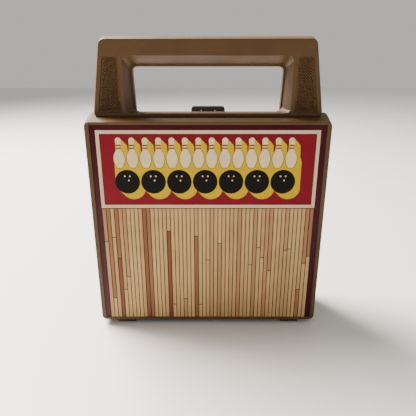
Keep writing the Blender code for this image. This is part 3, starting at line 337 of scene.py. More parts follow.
@dataclass(frozen=True)
class PrintedInk(Finish):
    """Offset ink on a varnished sheet: flat colour that has yellowed and stained unevenly."""

    stain: str = "#7A5A34"
    staining: float = 0.16
    # Damp stains on an old sheet are a few centimetres wide.
    blotch: float = 38.46 * MM
    blotch_detail: float = 5.0
    stain_range: tuple[float, float] = (0.48, 0.76)
    # Paper fibres are near 0.05 mm. Their mottle is drawn at 0.6 mm, as fine as still shows.
    fibre: float = 0.6 * MM
    mottling: tuple[float, float] = (0.93, 1.05)
    waviness: float = 0.08 * MM
    wave_strength: float = 0.5
    # Stained varnish is duller by this, and clean varnish is shinier by this.
    dulled: float = 0.12
    polished: float = 0.05

    def dress(self, tree: Tree, shader: Node, place: Socket) -> None:
        """Links faint stains, a paper mottle and the varnish's slight waviness.

        Args:
            tree: the material's node tree.
            shader: its Principled BSDF.
            place: the Object coordinates, in metres.
        """
        blot, tone, rough = self.stained(tree, place, linear(self.colour))
        fibres = add(
            tree, "ShaderNodeTexNoise", {"Vector": place, "Scale": 1 / self.fibre, "Detail": 3.0}
        )
        dark, pale = self.mottling
        mottle = add(
            tree, "ShaderNodeMapRange",
            {0: fibres.outputs[0], 1: NOISE_LOW, 2: NOISE_HIGH, 3: dark, 4: pale},
        )
        colour = add(
            tree, "ShaderNodeMix", {0: 1.0, 6: tone.outputs[2], 7: mottle.outputs[0]},
            data_type="RGBA", blend_type="MULTIPLY",
        )
        bump = add(
            tree, "ShaderNodeBump",
            {"Height": blot.outputs[0], "Distance": self.waviness, "Strength": self.wave_strength},
        )
        self.link(tree, shader, colour, rough, bump)

    def stained(
        self, tree: Tree, place: Socket, under: Socket | tuple[float, ...]
    ) -> tuple[Node, Node, Node]:
        """Lays the sheet's stains over a print, which are also a little duller than it.

        Args:
            tree: the material's node tree.
            place: the Object coordinates, in metres.
            under: the print's own colour.

        Returns:
            The stains' noise, the stained colour and the roughness.
        """
        blot = add(
            tree, "ShaderNodeTexNoise",
            {"Vector": place, "Scale": 1 / self.blotch, "Detail": self.blotch_detail, "Roughness": 0.6},
        )
        clean_and_unshaded, full = self.stain_range
        aged = add(
            tree, "ShaderNodeMapRange",
            {0: blot.outputs[0], 1: clean_and_unshaded, 2: full, 3: 0.0, 4: self.staining},
        )
        colour = add(
            tree, "ShaderNodeMix", {0: aged.outputs[0], 6: under, 7: linear(self.stain)},
            data_type="RGBA",
        )
        rough = add(
            tree, "ShaderNodeMapRange",
            {
                0: blot.outputs[0], 1: NOISE_LOW, 2: NOISE_HIGH,
                3: self.roughness - self.polished, 4: self.roughness + self.dulled,
            },
        )
        return blot, colour, rough


@dataclass(frozen=True)
class PrintedBoards(PrintedInk):
    """Printed maple boards: each has its own tone, from cream to brown, with a fine lengthwise grain."""

    middle: str = "#A57C56"
    dark: str = "#744429"
    blotch: float = 33.33 * MM
    blotch_detail: float = 6.0
    stain_range: tuple[float, float] = (0.5, 0.75)
    # Maple's grain lines are 0.1 to 0.3 mm apart. They are drawn at 0.67 mm, as fine as still shows.
    grain_width: float = 0.6667 * MM
    grain_length: float = 16.67 * MM
    grain_tone: tuple[float, float] = (0.86, 1.1)
    # The tones at which a board passes from pale to middle, and is fully dark.
    middle_from: float = 0.55
    dark_from: float = 0.9

    def dress(self, tree: Tree, shader: Node, place: Socket) -> None:
        """Links a tone for each board, its grain and the stains that run over all of them.

        Args:
            tree: the material's node tree.
            shader: its Principled BSDF.
            place: the Object coordinates, in metres.
        """
        tint = add(tree, "ShaderNodeAttribute", attribute_name="tint")
        first = add(tree, "ShaderNodeMapRange", {0: tint.outputs["Fac"], 2: self.middle_from})
        second = add(
            tree, "ShaderNodeMapRange",
            {0: tint.outputs["Fac"], 1: self.middle_from, 2: self.dark_from},
        )
        paler = add(
            tree, "ShaderNodeMix",
            {0: first.outputs[0], 6: linear(self.colour), 7: linear(self.middle)}, data_type="RGBA",
        )
        board = add(
            tree, "ShaderNodeMix",
            {0: second.outputs[0], 6: paler.outputs[2], 7: linear(self.dark)}, data_type="RGBA",
        )
        stretch = (1 / self.grain_width, 1 / self.grain_width, 1 / self.grain_length)
        run = add(tree, "ShaderNodeMapping", {0: place, 3: stretch})
        shift = add(
            tree, "ShaderNodeVectorMath", {0: run.outputs[0], 1: tint.outputs["Vector"]},
            operation="ADD",
        )
        grain = add(tree, "ShaderNodeTexNoise", {"Vector": shift.outputs[0], "Scale": 1.0, "Detail": 5.0})
        dark, pale = self.grain_tone
        streak = add(
            tree, "ShaderNodeMapRange",
            {0: grain.outputs[0], 1: NOISE_LOW, 2: NOISE_HIGH, 3: dark, 4: pale},
        )
        grained = add(
            tree, "ShaderNodeMix", {0: 1.0, 6: board.outputs[2], 7: streak.outputs[0]},
            data_type="RGBA", blend_type="MULTIPLY",
        )
        _, colour, rough = self.stained(tree, place, grained.outputs[2])
        self.link(tree, shader, colour, rough, None)


@dataclass(frozen=True)
class BandedPlastic(MouldedPlastic):
    """Blow-moulded white plastic with two painted rings round the neck."""

    ring: str = "#B3202A"
    rings: tuple[float, float] = (0.0, 0.0)
    ring_half: float = 0.35 * MM

    def dress(self, tree: Tree, shader: Node, place: Socket) -> None:
        """Links the two rings over the moulded colour.

        Args:
            tree: the material's node tree.
            shader: its Principled BSDF.
            place: the Object coordinates, in metres.
        """
        super().dress(tree, shader, place)
        under = shader.inputs["Base Color"].links[0].from_socket
        height = add(tree, "ShaderNodeSeparateXYZ", {0: place}).outputs[2]
        bands = [
            add(tree, "ShaderNodeMath", {0: height, 1: level, 2: self.ring_half}, operation="COMPARE")
            for level in self.rings
        ]
        either = add(
            tree, "ShaderNodeMath", {0: bands[0].outputs[0], 1: bands[1].outputs[0]},
            operation="MAXIMUM",
        )
        painted = add(
            tree, "ShaderNodeMix", {0: either.outputs[0], 6: under, 7: linear(self.ring)},
            data_type="RGBA",
        )
        tree.links.new(painted.outputs[2], shader.inputs["Base Color"])


@dataclass(frozen=True)
class Metal(Finish):
    """Drawn, stamped or plated metal: fine drawing lines and a patchy bloom."""

    # Drawing lines run along X. Real ones are near 0.02 mm wide, and 0.25 mm is as fine as still shows.
    line_length: float = 3.333 * MM
    line_width: float = 0.25 * MM
    line_height: float = 0.01 * MM
    line_strength: float = 0.4
    # Between the lines the metal is shinier by this, and on them it is duller by this.
    polished: float = 0.1
    dulled: float = 0.12
    # Patches of bloom are a few millimetres wide.
    patch: float = 4.545 * MM
    patch_range: tuple[float, float] = (0.45, 0.75)
    tarnish: str = "#6B6257"
    tarnishing: float = 0.25

    def dress(self, tree: Tree, shader: Node, place: Socket) -> None:
        """Links drawing lines in the roughness and tarnish in the colour.

        Args:
            tree: the material's node tree.
            shader: its Principled BSDF.
            place: the Object coordinates, in metres.
        """
        stretch = (1 / self.line_length, 1 / self.line_width, 1 / self.line_width)
        run = add(tree, "ShaderNodeMapping", {0: place, 3: stretch})
        drawn = add(tree, "ShaderNodeTexNoise", {"Vector": run.outputs[0], "Scale": 1.0, "Detail": 4.0})
        bloom = add(tree, "ShaderNodeTexNoise", {"Vector": place, "Scale": 1 / self.patch, "Detail": 4.0})
        first, full = self.patch_range
        dull = add(
            tree, "ShaderNodeMapRange",
            {0: bloom.outputs[0], 1: first, 2: full, 3: 0.0, 4: self.tarnishing},
        )
        colour = add(
            tree, "ShaderNodeMix",
            {0: dull.outputs[0], 6: linear(self.colour), 7: linear(self.tarnish)}, data_type="RGBA",
        )
        rough = add(
            tree, "ShaderNodeMapRange",
            {
                0: drawn.outputs[0], 1: NOISE_LOW, 2: NOISE_HIGH,
                3: self.roughness - self.polished, 4: self.roughness + self.dulled,
            },
        )
        bump = add(
            tree, "ShaderNodeBump",
            {"Height": drawn.outputs[0], "Distance": self.line_height, "Strength": self.line_strength},
        )
        self.link(tree, shader, colour, rough, bump)


# High-impact styrene, moulded tan: satin, with a fine spark texture and pale handling wear.
TAN_STYRENE = MouldedPlastic("tan_styrene", Slot.TAN, "#523A1E", 0.5, 1.55, shine=0.25)
# The same plastic moulded dark olive brown, polished a little by thumbs.
OLIVE_STYRENE = MouldedPlastic("olive_styrene", Slot.DARK, "#33270F", 0.38, 1.55, wear_and_shade="#6E5A34")
# Glossy moulded styrene of the ball, near black.
BLACK_STYRENE = MouldedPlastic(
    "black_styrene", Slot.BLACK, "#161517", 0.18, 1.55, wear_and_shade="#4A494C", wear=0.15
)
# Moulded polypropylene of the feet, orange and slightly waxy.
ORANGE_POLYPROPYLENE = MouldedPlastic(
    "orange_polypropylene", Slot.ORANGE, "#C85A1C", 0.36, 1.49, wear_and_shade="#DB8A55", wear=0.2
)
# White acetal of the knob and the cranks: smooth, off-white and waxy.
WHITE_ACETAL = MouldedPlastic("white_acetal", Slot.WHITE, "#E6E2D6", 0.3, 1.48, wear_and_shade="#F2EFE6", wear=0.2)
# Inks of the front sheet, under a varnish that has dried out and hardly shines.
MAROON_INK = PrintedInk("maroon_ink", Slot.PRINT, "#3A0614", 0.4, shine=0.15, staining=0.06)
CREAM_INK = PrintedInk("cream_ink", Slot.PRINT, "#D0B697", 0.4, shine=0.15)
IVORY_INK = PrintedInk("ivory_ink", Slot.PRINT, "#DCC696", 0.4, shine=0.15)
RED_INK = PrintedInk("red_ink", Slot.PRINT, "#72061A", 0.4, shine=0.12, staining=0.05)
YELLOW_INK = PrintedInk("yellow_ink", Slot.PRINT, "#C4A200", 0.4, shine=0.1, staining=0.02)
BLACK_INK = PrintedInk("black_ink", Slot.PRINT, "#060505", 0.4, shine=0.1, staining=0.02)
BROWN_INK = PrintedInk("brown_ink", Slot.PRINT, "#1E1107", 0.4, shine=0.12, staining=0.1)
# Printed maple strips, dull under old varnish on the front sheet and glossier on the lane inside.
SHEET_BOARDS = PrintedBoards("sheet_boards", Slot.PRINT, "#BE9C6A", 0.4, shine=0.15, staining=0.3)
LANE_BOARDS = PrintedBoards("lane_boards", Slot.LANE, "#DCBE8C", 0.28, staining=0.12)
# Vacuum-formed styrene of the lane panels: thin, maple brown and fairly shiny.
LANE_STYRENE = MouldedPlastic("lane_styrene", Slot.LANE, "#B98F5C", 0.34, 1.55, wear_and_shade="#D2B488", wear=0.2)
# Nickel-plated steel of pins, shafts and screws: bright and faintly warm, with fine drawing lines.
PLATED_STEEL = Metal("plated_steel", Slot.STEEL, "#C3C1BC", 0.3, metallic=1.0)
# Blued strip of the mainspring: dark steel with a blue cast.
BLUED_STEEL = Metal("blued_steel", Slot.SPRING, "#4D5160", 0.32, metallic=1.0)
# Zinc-plated stampings of the movement: pale blue-grey, duller than nickel.
ZINC_PLATE = Metal("zinc_plated_stamping", Slot.ZINC, "#B4B7B9", 0.4, metallic=1.0)
# Stamped brass of the gears: yellow, with a brown bloom.
STAMPED_BRASS = Metal("stamped_brass", Slot.BRASS, "#C79A4B", 0.32, metallic=1.0, tarnish="#7A5A2A")


# ---------------------------------------------------------------- mesh helpers


def finished(name: str, mesh: bpy.types.Mesh) -> bpy.types.Object:
    """Makes an object at the origin.

    Args:
        name: its name.
        mesh: the mesh that it holds.

    Returns:
        The new object, linked to the scene.
    """
    obj = bpy.data.objects.new(name, mesh)
    bpy.context.scene.collection.objects.link(obj)
    return obj


def object_of(name: str, bm: bmesh.types.BMesh) -> bpy.types.Object:
    """Makes an object at the origin from an edited mesh.

    Args:
        name: the names of the object and its mesh.
        bm: the edited mesh, which is freed.

    Returns:
        The new object.
    """
    mesh = bpy.data.meshes.new(name)
    bm.to_mesh(mesh)
    bm.free()
    return finished(name, mesh)


def settled(obj: bpy.types.Object) -> bpy.types.Object:
    """Turns an object and its modifiers into a plain mesh object of the same name.

    Args:
        obj: the object, which is removed.

    Returns:
        The plain object, at the origin.
    """
    bpy.context.view_layer.update()
    graph = bpy.context.evaluated_depsgraph_get()
    mesh = bpy.data.meshes.new_from_object(obj.evaluated_get(graph))
    name = obj.name
    bpy.data.objects.remove(obj)
    mesh.name = name
    return finished(name, mesh)


def shade(obj: bpy.types.Object, sharp_above: float = SHARP_ABOVE) -> bpy.types.Object:
    """Shades an object smooth, with its sharp edges kept.

    Args:
        obj: the object.
        sharp_above: the angle in degrees above which an edge is sharp.

    Returns:
        The same object.
    """
    obj.data.shade_smooth()
    obj.data.set_sharp_from_angle(angle=math.radians(sharp_above))
    return obj


def fitted(obj: bpy.types.Object, finish: Finish, body: str, *nodes: str) -> None:
    """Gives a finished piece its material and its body.

    Args:
        obj: the piece, with its place in its mesh.
        finish: what its surface is.
        body: the CAD body that carries it.
        nodes: the CAD nodes that it stands for.
    """
    obj.data.materials.clear()
    obj.data.materials.append(finish.material())
    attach(obj, body)
    if nodes:
        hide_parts(*nodes)
    LOG.info("%s rides on %s in %s, %d faces", obj.name, body, finish.name, len(obj.data.polygons))


def merged_copy(node: str) -> bmesh.types.BMesh:
    """Copies a CAD node's mesh, with its loose triangles joined and its flats merged.

    Args:
        node: the CAD node, which stays as it is.

    Returns:
        The copy.
    """
    bm = bmesh.new()
    bm.from_mesh(frame["nodes"][node].data)
    bmesh.ops.remove_doubles(bm, verts=bm.verts, dist=JOIN_DISTANCE)
    bmesh.ops.dissolve_limit(
        bm, angle_limit=math.radians(FLAT_WITHIN), verts=bm.verts, edges=bm.edges, delimit={"NORMAL"}
    )
    return bm


def eased(node: str, finish: Finish, width: float, sharp_above: float = SHARP_ABOVE) -> None:
    """Replaces a CAD node with a copy whose sharp edges are eased.

    Args:
        node: the CAD node.
        finish: what its surface is.
        width: the easing's width.
        sharp_above: the angle in degrees from which an edge is eased.
    """
    obj = object_of(f"{node}_shape", merged_copy(node))
    bevel = obj.modifiers.new("easing", "BEVEL")
    bevel.width = width
    bevel.segments = 2
    bevel.limit_method = "ANGLE"
    bevel.angle_limit = math.radians(sharp_above)
    bevel.use_clamp_overlap = True
    bevel.miter_outer = "MITER_ARC"
    obj.data.shade_smooth()
    # Large faces keep their own normals beside the narrow eased edges.
    flat = obj.modifiers.new("flat_faces", "WEIGHTED_NORMAL")
    flat.weight = 100
    fitted(settled(obj), finish, frame["nodes"][node]["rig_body"], node)


def dressed(node: str, finish: Finish) -> None:
    """Gives a material to a CAD node that keeps its shape.

    Args:
        node: the CAD node.
        finish: what its surface is.
    """
    obj = frame["nodes"][node]
    obj.data.materials.clear()
    obj.data.materials.append(finish.material())
    LOG.info("%s keeps its own shape in %s", node, finish.name)


def add_prism(bm: bmesh.types.BMesh, outline: Outline, near: float, far: float) -> None:
    """Adds a flat slab to a mesh: an (x, z) outline, anticlockwise from the front, between two depths.

    Args:
        bm: the mesh that it is added to.
        outline: its corners.
        near: the y of its front face.
        far: the y of its back face.
    """
    front = [bm.verts.new((x, near, z)) for x, z in outline]
    back = [bm.verts.new((x, far, z)) for x, z in outline]
    bm.faces.new(front)
    bm.faces.new(back[::-1])
    for i in range(len(outline)):
        j = (i + 1) % len(outline)
        bm.faces.new((front[j], front[i], back[i], back[j]))


def slabs(name: str, outlines: list[Outline], near: float, far: float) -> bpy.types.Object:
    """Makes an object of flat slabs, one for each outline.

    Args:
        name: the object's name.
        outlines: the (x, z) corners of each slab, anticlockwise from the front.
        near: the y of the front faces.
        far: the y of the back faces.

    Returns:
        The object, with its faces pointing out.
    """
    bm = bmesh.new()
    for outline in outlines:
        add_prism(bm, outline, near, far)
    bmesh.ops.recalc_face_normals(bm, faces=bm.faces)
    return object_of(name, bm)


def rectangle(left: float, right: float, low: float, high: float) -> Outline:
    """Returns a rectangle's corners, anticlockwise."""
    return [(left, low), (right, low), (right, high), (left, high)]


def disc(x: float, z: float, radius: float, points: int) -> Outline:
    """Returns a circle's points, anticlockwise."""
    angles = [2 * math.pi * i / points for i in range(points)]
    return [(x + radius * math.cos(a), z + radius * math.sin(a)) for a in angles]


def turned(name: str, profile: Outline, centre: Vector, axis: Vector, steps: int) -> bpy.types.Object:
    """Turns a profile into a closed solid.

    Args:
        name: the object's name.
        profile: (radius, height) pairs from one end of the axis to the other, both on the axis.
        centre: where height 0 lies.
        axis: the direction in which heights run.
        steps: faces round the axis.

    Returns:
        The object, with its faces pointing out.
    """
    turn = axis.to_track_quat("Z", "Y").to_matrix().to_4x4()
    bm = bmesh.new()
    ends = [bm.verts.new((0, 0, profile[0][1])), bm.verts.new((0, 0, profile[-1][1]))]
    rings = [
        [
            bm.verts.new((r * math.cos(a), r * math.sin(a), h))
            for a in (2 * math.pi * i / steps for i in range(steps))
        ]
        for r, h in profile[1:-1]
    ]
    for i in range(steps):
        j = (i + 1) % steps
        bm.faces.new((ends[0], rings[0][i], rings[0][j]))
        bm.faces.new((ends[1], rings[-1][j], rings[-1][i]))
        for low, high in zip(rings, rings[1:]):
            bm.faces.new((low[i], high[i], high[j], low[j]))
    bmesh.ops.recalc_face_normals(bm, faces=bm.faces)
    bm.transform(Matrix.Translation(centre) @ turn)
    return object_of(name, bm)


def cut(obj: bpy.types.Object, cutter: bpy.types.Object) -> bpy.types.Object:
    """Cuts one object out of another.

    Args:
        obj: the object that is cut.
        cutter: what is cut out of it, which is removed.

    Returns:
        The cut object, as a plain mesh.
    """
    modifier = obj.modifiers.new("cut", "BOOLEAN")
    modifier.object = cutter
    modifier.solver = "EXACT"
    whole = settled(obj)
    bpy.data.objects.remove(cutter)
    return whole


def curve_through(points: Outline, steps: int) -> Outline:
    """Draws a smooth line, a Catmull-Rom curve, through points.

    Args:
        points: the points, from one end to the other.
        steps: how many steps lie between each two.

    Returns:
        The line's points.
    """
    line: Outline = []
    for i in range(len(points) - 1):
        before, start = points[max(i - 1, 0)], points[i]
        end, after = points[i + 1], points[min(i + 2, len(points) - 1)]
        for step in range(steps):
            t = step / steps
            line.append(
                tuple(
                    0.5
                    * (
                        2 * b + (c - a) * t + (2 * a - 5 * b + 4 * c - d) * t * t
                        + (3 * b - a - 3 * c + d) * t**3
                    )
                    for a, b, c, d in zip(before, start, end, after)
                )
            )
    return [*line, points[-1]]


# ---------------------------------------------------------------- node trees that repeat a shape


def new_tree(name: str, inputs: dict[str, tuple[str, object]]) -> Tree:
    """Starts a geometry tree.

    Args:
        name: the tree's name.
        inputs: the socket type and the default of each named input.

    Returns:
        The tree, with its group input node named Input.
    """
    tree = bpy.data.node_groups.new(name, "GeometryNodeTree")
    tree.interface.new_socket("Geometry", in_out="OUTPUT", socket_type="NodeSocketGeometry")
    for key, (kind, default) in inputs.items():
        socket = tree.interface.new_socket(key, in_out="INPUT", socket_type=f"NodeSocket{kind}")
        if default is not None:
            socket.default_value = default
    add(tree, "NodeGroupInput", name="Input")
    return tree


def grown(name: str, tree: Tree, values: dict[str, object], place: Matrix) -> bpy.types.Object:
    """Runs a geometry tree with these inputs and returns its plain mesh at its place.

    Args:
        name: the object's name.
        tree: the geometry tree.
        values: a value for each named input.
        place: where the tree's own frame lies.

    Returns:
        The plain mesh object.
    """
    obj = finished(name, bpy.data.meshes.new(name))
    modifier = obj.modifiers.new(tree.name, "NODES")
    modifier.node_group = tree
    for item in tree.interface.items_tree:
        if item.item_type == "SOCKET" and item.in_out == "INPUT" and item.name in values:
            modifier[item.identifier] = values[item.name]
    obj = settled(obj)
    obj.data.transform(place)
    return obj


def knurl_tree() -> Tree:
    """Builds the tree of a diamond knurl: staggered low pyramids inside a four-sided panel."""
    tree = new_tree(
        "diamond_knurl",
        {
            "Columns": ("Int", 10), "Rows": ("Int", 40), "Pitch": ("Float", 0.002),
            "Height": ("Float", 0.0005), "Crest": ("Float", 0.0002), "Left": ("Float", 0.0),
            "Left slope": ("Float", 0.0), "Right": ("Float", 0.0), "Right slope": ("Float", 0.0),
            "Material": ("Material", None),
        },
    )
    given = tree.nodes["Input"].outputs
    half = add(tree, "ShaderNodeMath", {0: given["Pitch"], 1: 0.5}, operation="MULTIPLY").outputs[0]
    across = add(tree, "ShaderNodeMath", {0: given["Pitch"], 1: given["Columns"]}, operation="MULTIPLY")
    along = add(tree, "ShaderNodeMath", {0: half, 1: given["Rows"]}, operation="MULTIPLY")
    more = [
        add(tree, "ShaderNodeMath", {0: given[key], 1: 1.0}, operation="ADD").outputs[0]
        for key in ("Columns", "Rows")
    ]
    grid = add(
        tree, "GeometryNodeMeshGrid",
        {0: across.outputs[0], 1: along.outputs[0], 2: more[0], 3: more[1]},
    )
    place = add(tree, "ShaderNodeSeparateXYZ", {0: add(tree, "GeometryNodeInputPosition").outputs[0]})
    row = add(tree, "ShaderNodeMath", {0: place.outputs[1], 1: half}, operation="DIVIDE")
    whole = add(tree, "ShaderNodeMath", {0: row.outputs[0]}, operation="ROUND")
    odd = add(tree, "ShaderNodeMath", {0: whole.outputs[0], 1: 2.0}, operation="FLOORED_MODULO")
    shift = add(tree, "ShaderNodeMath", {0: odd.outputs[0], 1: half}, operation="MULTIPLY")
    offset = add(tree, "ShaderNodeCombineXYZ", {0: shift.outputs[0]})
    moved = add(tree, "GeometryNodeSetPosition", {0: grid.outputs[0], "Offset": offset.outputs[0]})
    after = add(tree, "ShaderNodeSeparateXYZ", {0: add(tree, "GeometryNodeInputPosition").outputs[0]})
    outside = []
    for edge, slope, test in (("Left", "Left slope", "LESS_THAN"), ("Right", "Right slope", "GREATER_THAN")):
        limit = add(
            tree, "ShaderNodeMath", {0: after.outputs[1], 1: given[slope], 2: given[edge]},
            operation="MULTIPLY_ADD",
        )
        outside.append(
            add(tree, "ShaderNodeMath", {0: after.outputs[0], 1: limit.outputs[0]}, operation=test)
        )
    either = add(
        tree, "ShaderNodeMath", {0: outside[0].outputs[0], 1: outside[1].outputs[0]}, operation="MAXIMUM"
    )
    kept = add(
        tree, "GeometryNodeDeleteGeometry", {0: moved.outputs[0], 1: either.outputs[0]}, domain="POINT"
    )
    diamond = add(
        tree, "GeometryNodeMeshCone",
        {
            "Vertices": 4, "Radius Top": given["Crest"], "Radius Bottom": half,
            "Depth": given["Height"],
        },
    )
    studs = add(tree, "GeometryNodeInstanceOnPoints", {0: kept.outputs[0], "Instance": diamond.outputs[0]})
    real = add(tree, "GeometryNodeRealizeInstances", {0: studs.outputs[0]})
    dressed_mesh = add(
        tree, "GeometryNodeSetMaterial", {0: real.outputs[0], "Material": given["Material"]}
    )
    add(tree, "NodeGroupOutput", {0: dressed_mesh.outputs[0]})
    return tree


def board_tree() -> Tree:
    """Builds the tree of a strip floor: thin boards side by side, some butted end to end."""
    tree = new_tree(
        "strip_boards",
        {
            "Count": ("Int", 50), "Pitch": ("Float", 0.003), "Gap": ("Float", 0.0003),
            "Length": ("Float", 0.1), "Thickness": ("Float", 0.0001), "Butted": ("Float", 0.35),
            "First butt": ("Float", 0.1), "Last butt": ("Float", 0.9), "Skew": ("Float", 2.6),
            "Seed": ("Int", 1), "Material": ("Material", None),
        },
    )
    given = tree.nodes["Input"].outputs
    step = add(tree, "ShaderNodeCombineXYZ", {0: given["Pitch"]})
    line = add(tree, "GeometryNodeMeshLine", {"Count": given["Count"], "Offset": step.outputs[0]})
    width = add(tree, "ShaderNodeMath", {0: given["Pitch"], 1: given["Gap"]}, operation="SUBTRACT")
    size = add(
        tree, "ShaderNodeCombineXYZ", {0: width.outputs[0], 1: given["Length"], 2: given["Thickness"]}
    )
    board = add(tree, "GeometryNodeMeshCube", {"Size": size.outputs[0]})
    half = add(tree, "ShaderNodeMath", {0: given["Length"], 1: 0.5}, operation="MULTIPLY")
    lift = add(tree, "ShaderNodeCombineXYZ", {1: half.outputs[0]})
    upright = add(
        tree, "GeometryNodeTransform", {0: board.outputs[0], "Translation": lift.outputs[0]}
    )
    seeds = [
        add(tree, "ShaderNodeMath", {0: given["Seed"], 1: float(i)}, operation="ADD").outputs[0]
        for i in range(4)
    ]
    butted = add(
        tree, "FunctionNodeRandomValue", {"Probability": given["Butted"], "Seed": seeds[0]},
        data_type="BOOLEAN",
    )
    share = add(
        tree, "FunctionNodeRandomValue",
        {2: given["First butt"], 3: given["Last butt"], "Seed": seeds[1]}, data_type="FLOAT",
    )
    end = add(
        tree, "GeometryNodeSwitch", {0: butted.outputs[3], 1: 1.0, 2: share.outputs[1]},
        input_type="FLOAT",
    )
    gap_share = add(tree, "ShaderNodeMath", {0: given["Gap"], 1: given["Length"]}, operation="DIVIDE")
    rest = add(tree, "ShaderNodeMath", {0: 1.0, 1: end.outputs[0]}, operation="SUBTRACT")
    upper_scale = add(
        tree, "ShaderNodeMath", {0: rest.outputs[0], 1: gap_share.outputs[0]}, operation="SUBTRACT"
    )
    start = add(tree, "ShaderNodeMath", {0: end.outputs[0], 1: gap_share.outputs[0]}, operation="ADD")
    rise = add(tree, "ShaderNodeMath", {0: start.outputs[0], 1: given["Length"]}, operation="MULTIPLY")
    raised = add(tree, "ShaderNodeCombineXYZ", {1: rise.outputs[0]})
    upper_points = add(
        tree, "GeometryNodeSetPosition", {0: line.outputs[0], "Offset": raised.outputs[0]}
    )
    parts = []
    for points, scale, seed, chosen in (
        (line, end, seeds[2], None), (upper_points, upper_scale, seeds[3], butted.outputs[3]),
    ):
        stretch = add(tree, "ShaderNodeCombineXYZ", {0: 1.0, 1: scale.outputs[0], 2: 1.0})
        inputs = {0: points.outputs[0], "Instance": upright.outputs[0], "Scale": stretch.outputs[0]}
        if chosen is not None:
            inputs["Selection"] = chosen
        laid = add(tree, "GeometryNodeInstanceOnPoints", inputs)
        chance = add(
            tree, "FunctionNodeRandomValue", {2: 0.0, 3: 1.0, "Seed": seed}, data_type="FLOAT"
        )
        tone = add(tree, "ShaderNodeMath", {0: chance.outputs[1], 1: given["Skew"]}, operation="POWER")
        parts.append(
            add(
                tree, "GeometryNodeStoreNamedAttribute",
                {0: laid.outputs[0], "Name": "tint", "Value": tone.outputs[0]},
                data_type="FLOAT", domain="INSTANCE",
            ).outputs[0]
        )
    joined = add(tree, "GeometryNodeJoinGeometry")
    for part in reversed(parts):
        tree.links.new(part, joined.inputs[0])
    real = add(tree, "GeometryNodeRealizeInstances", {0: joined.outputs[0]})
    dressed_mesh = add(
        tree, "GeometryNodeSetMaterial", {0: real.outputs[0], "Material": given["Material"]}
    )
    add(tree, "NodeGroupOutput", {0: dressed_mesh.outputs[0]})
    return tree


def facing(half: Half, x: float, y: float, z: float, outward: bool = True) -> Matrix:
    """Returns the frame of a flat panel: its x along X, its y along Z, its z out of the panel.

    Args:
        half: the half of the case that it is on.
        x: where its origin lies across.
        y: where its origin lies in depth.
        z: where its origin lies in height.
        outward: whether it faces away from the parting plane.

    Returns:
        The matrix from the panel's frame to the model's.
    """
    sign = half.value if outward else -half.value
    return Matrix(((1, 0, 0, x), (0, 0, sign, y), (0, 1, 0, z), (0, 0, 0, 1)))


# ---------------------------------------------------------------- case and latch


@dataclass(frozen=True)
class GripFloor:
    """The floor of the right leg's sunk grip panel, which has four sides."""

    inner_low: float
    outer_low: float
    inner_high: float
    outer_high: float
    low: float
    high: float
    y: float


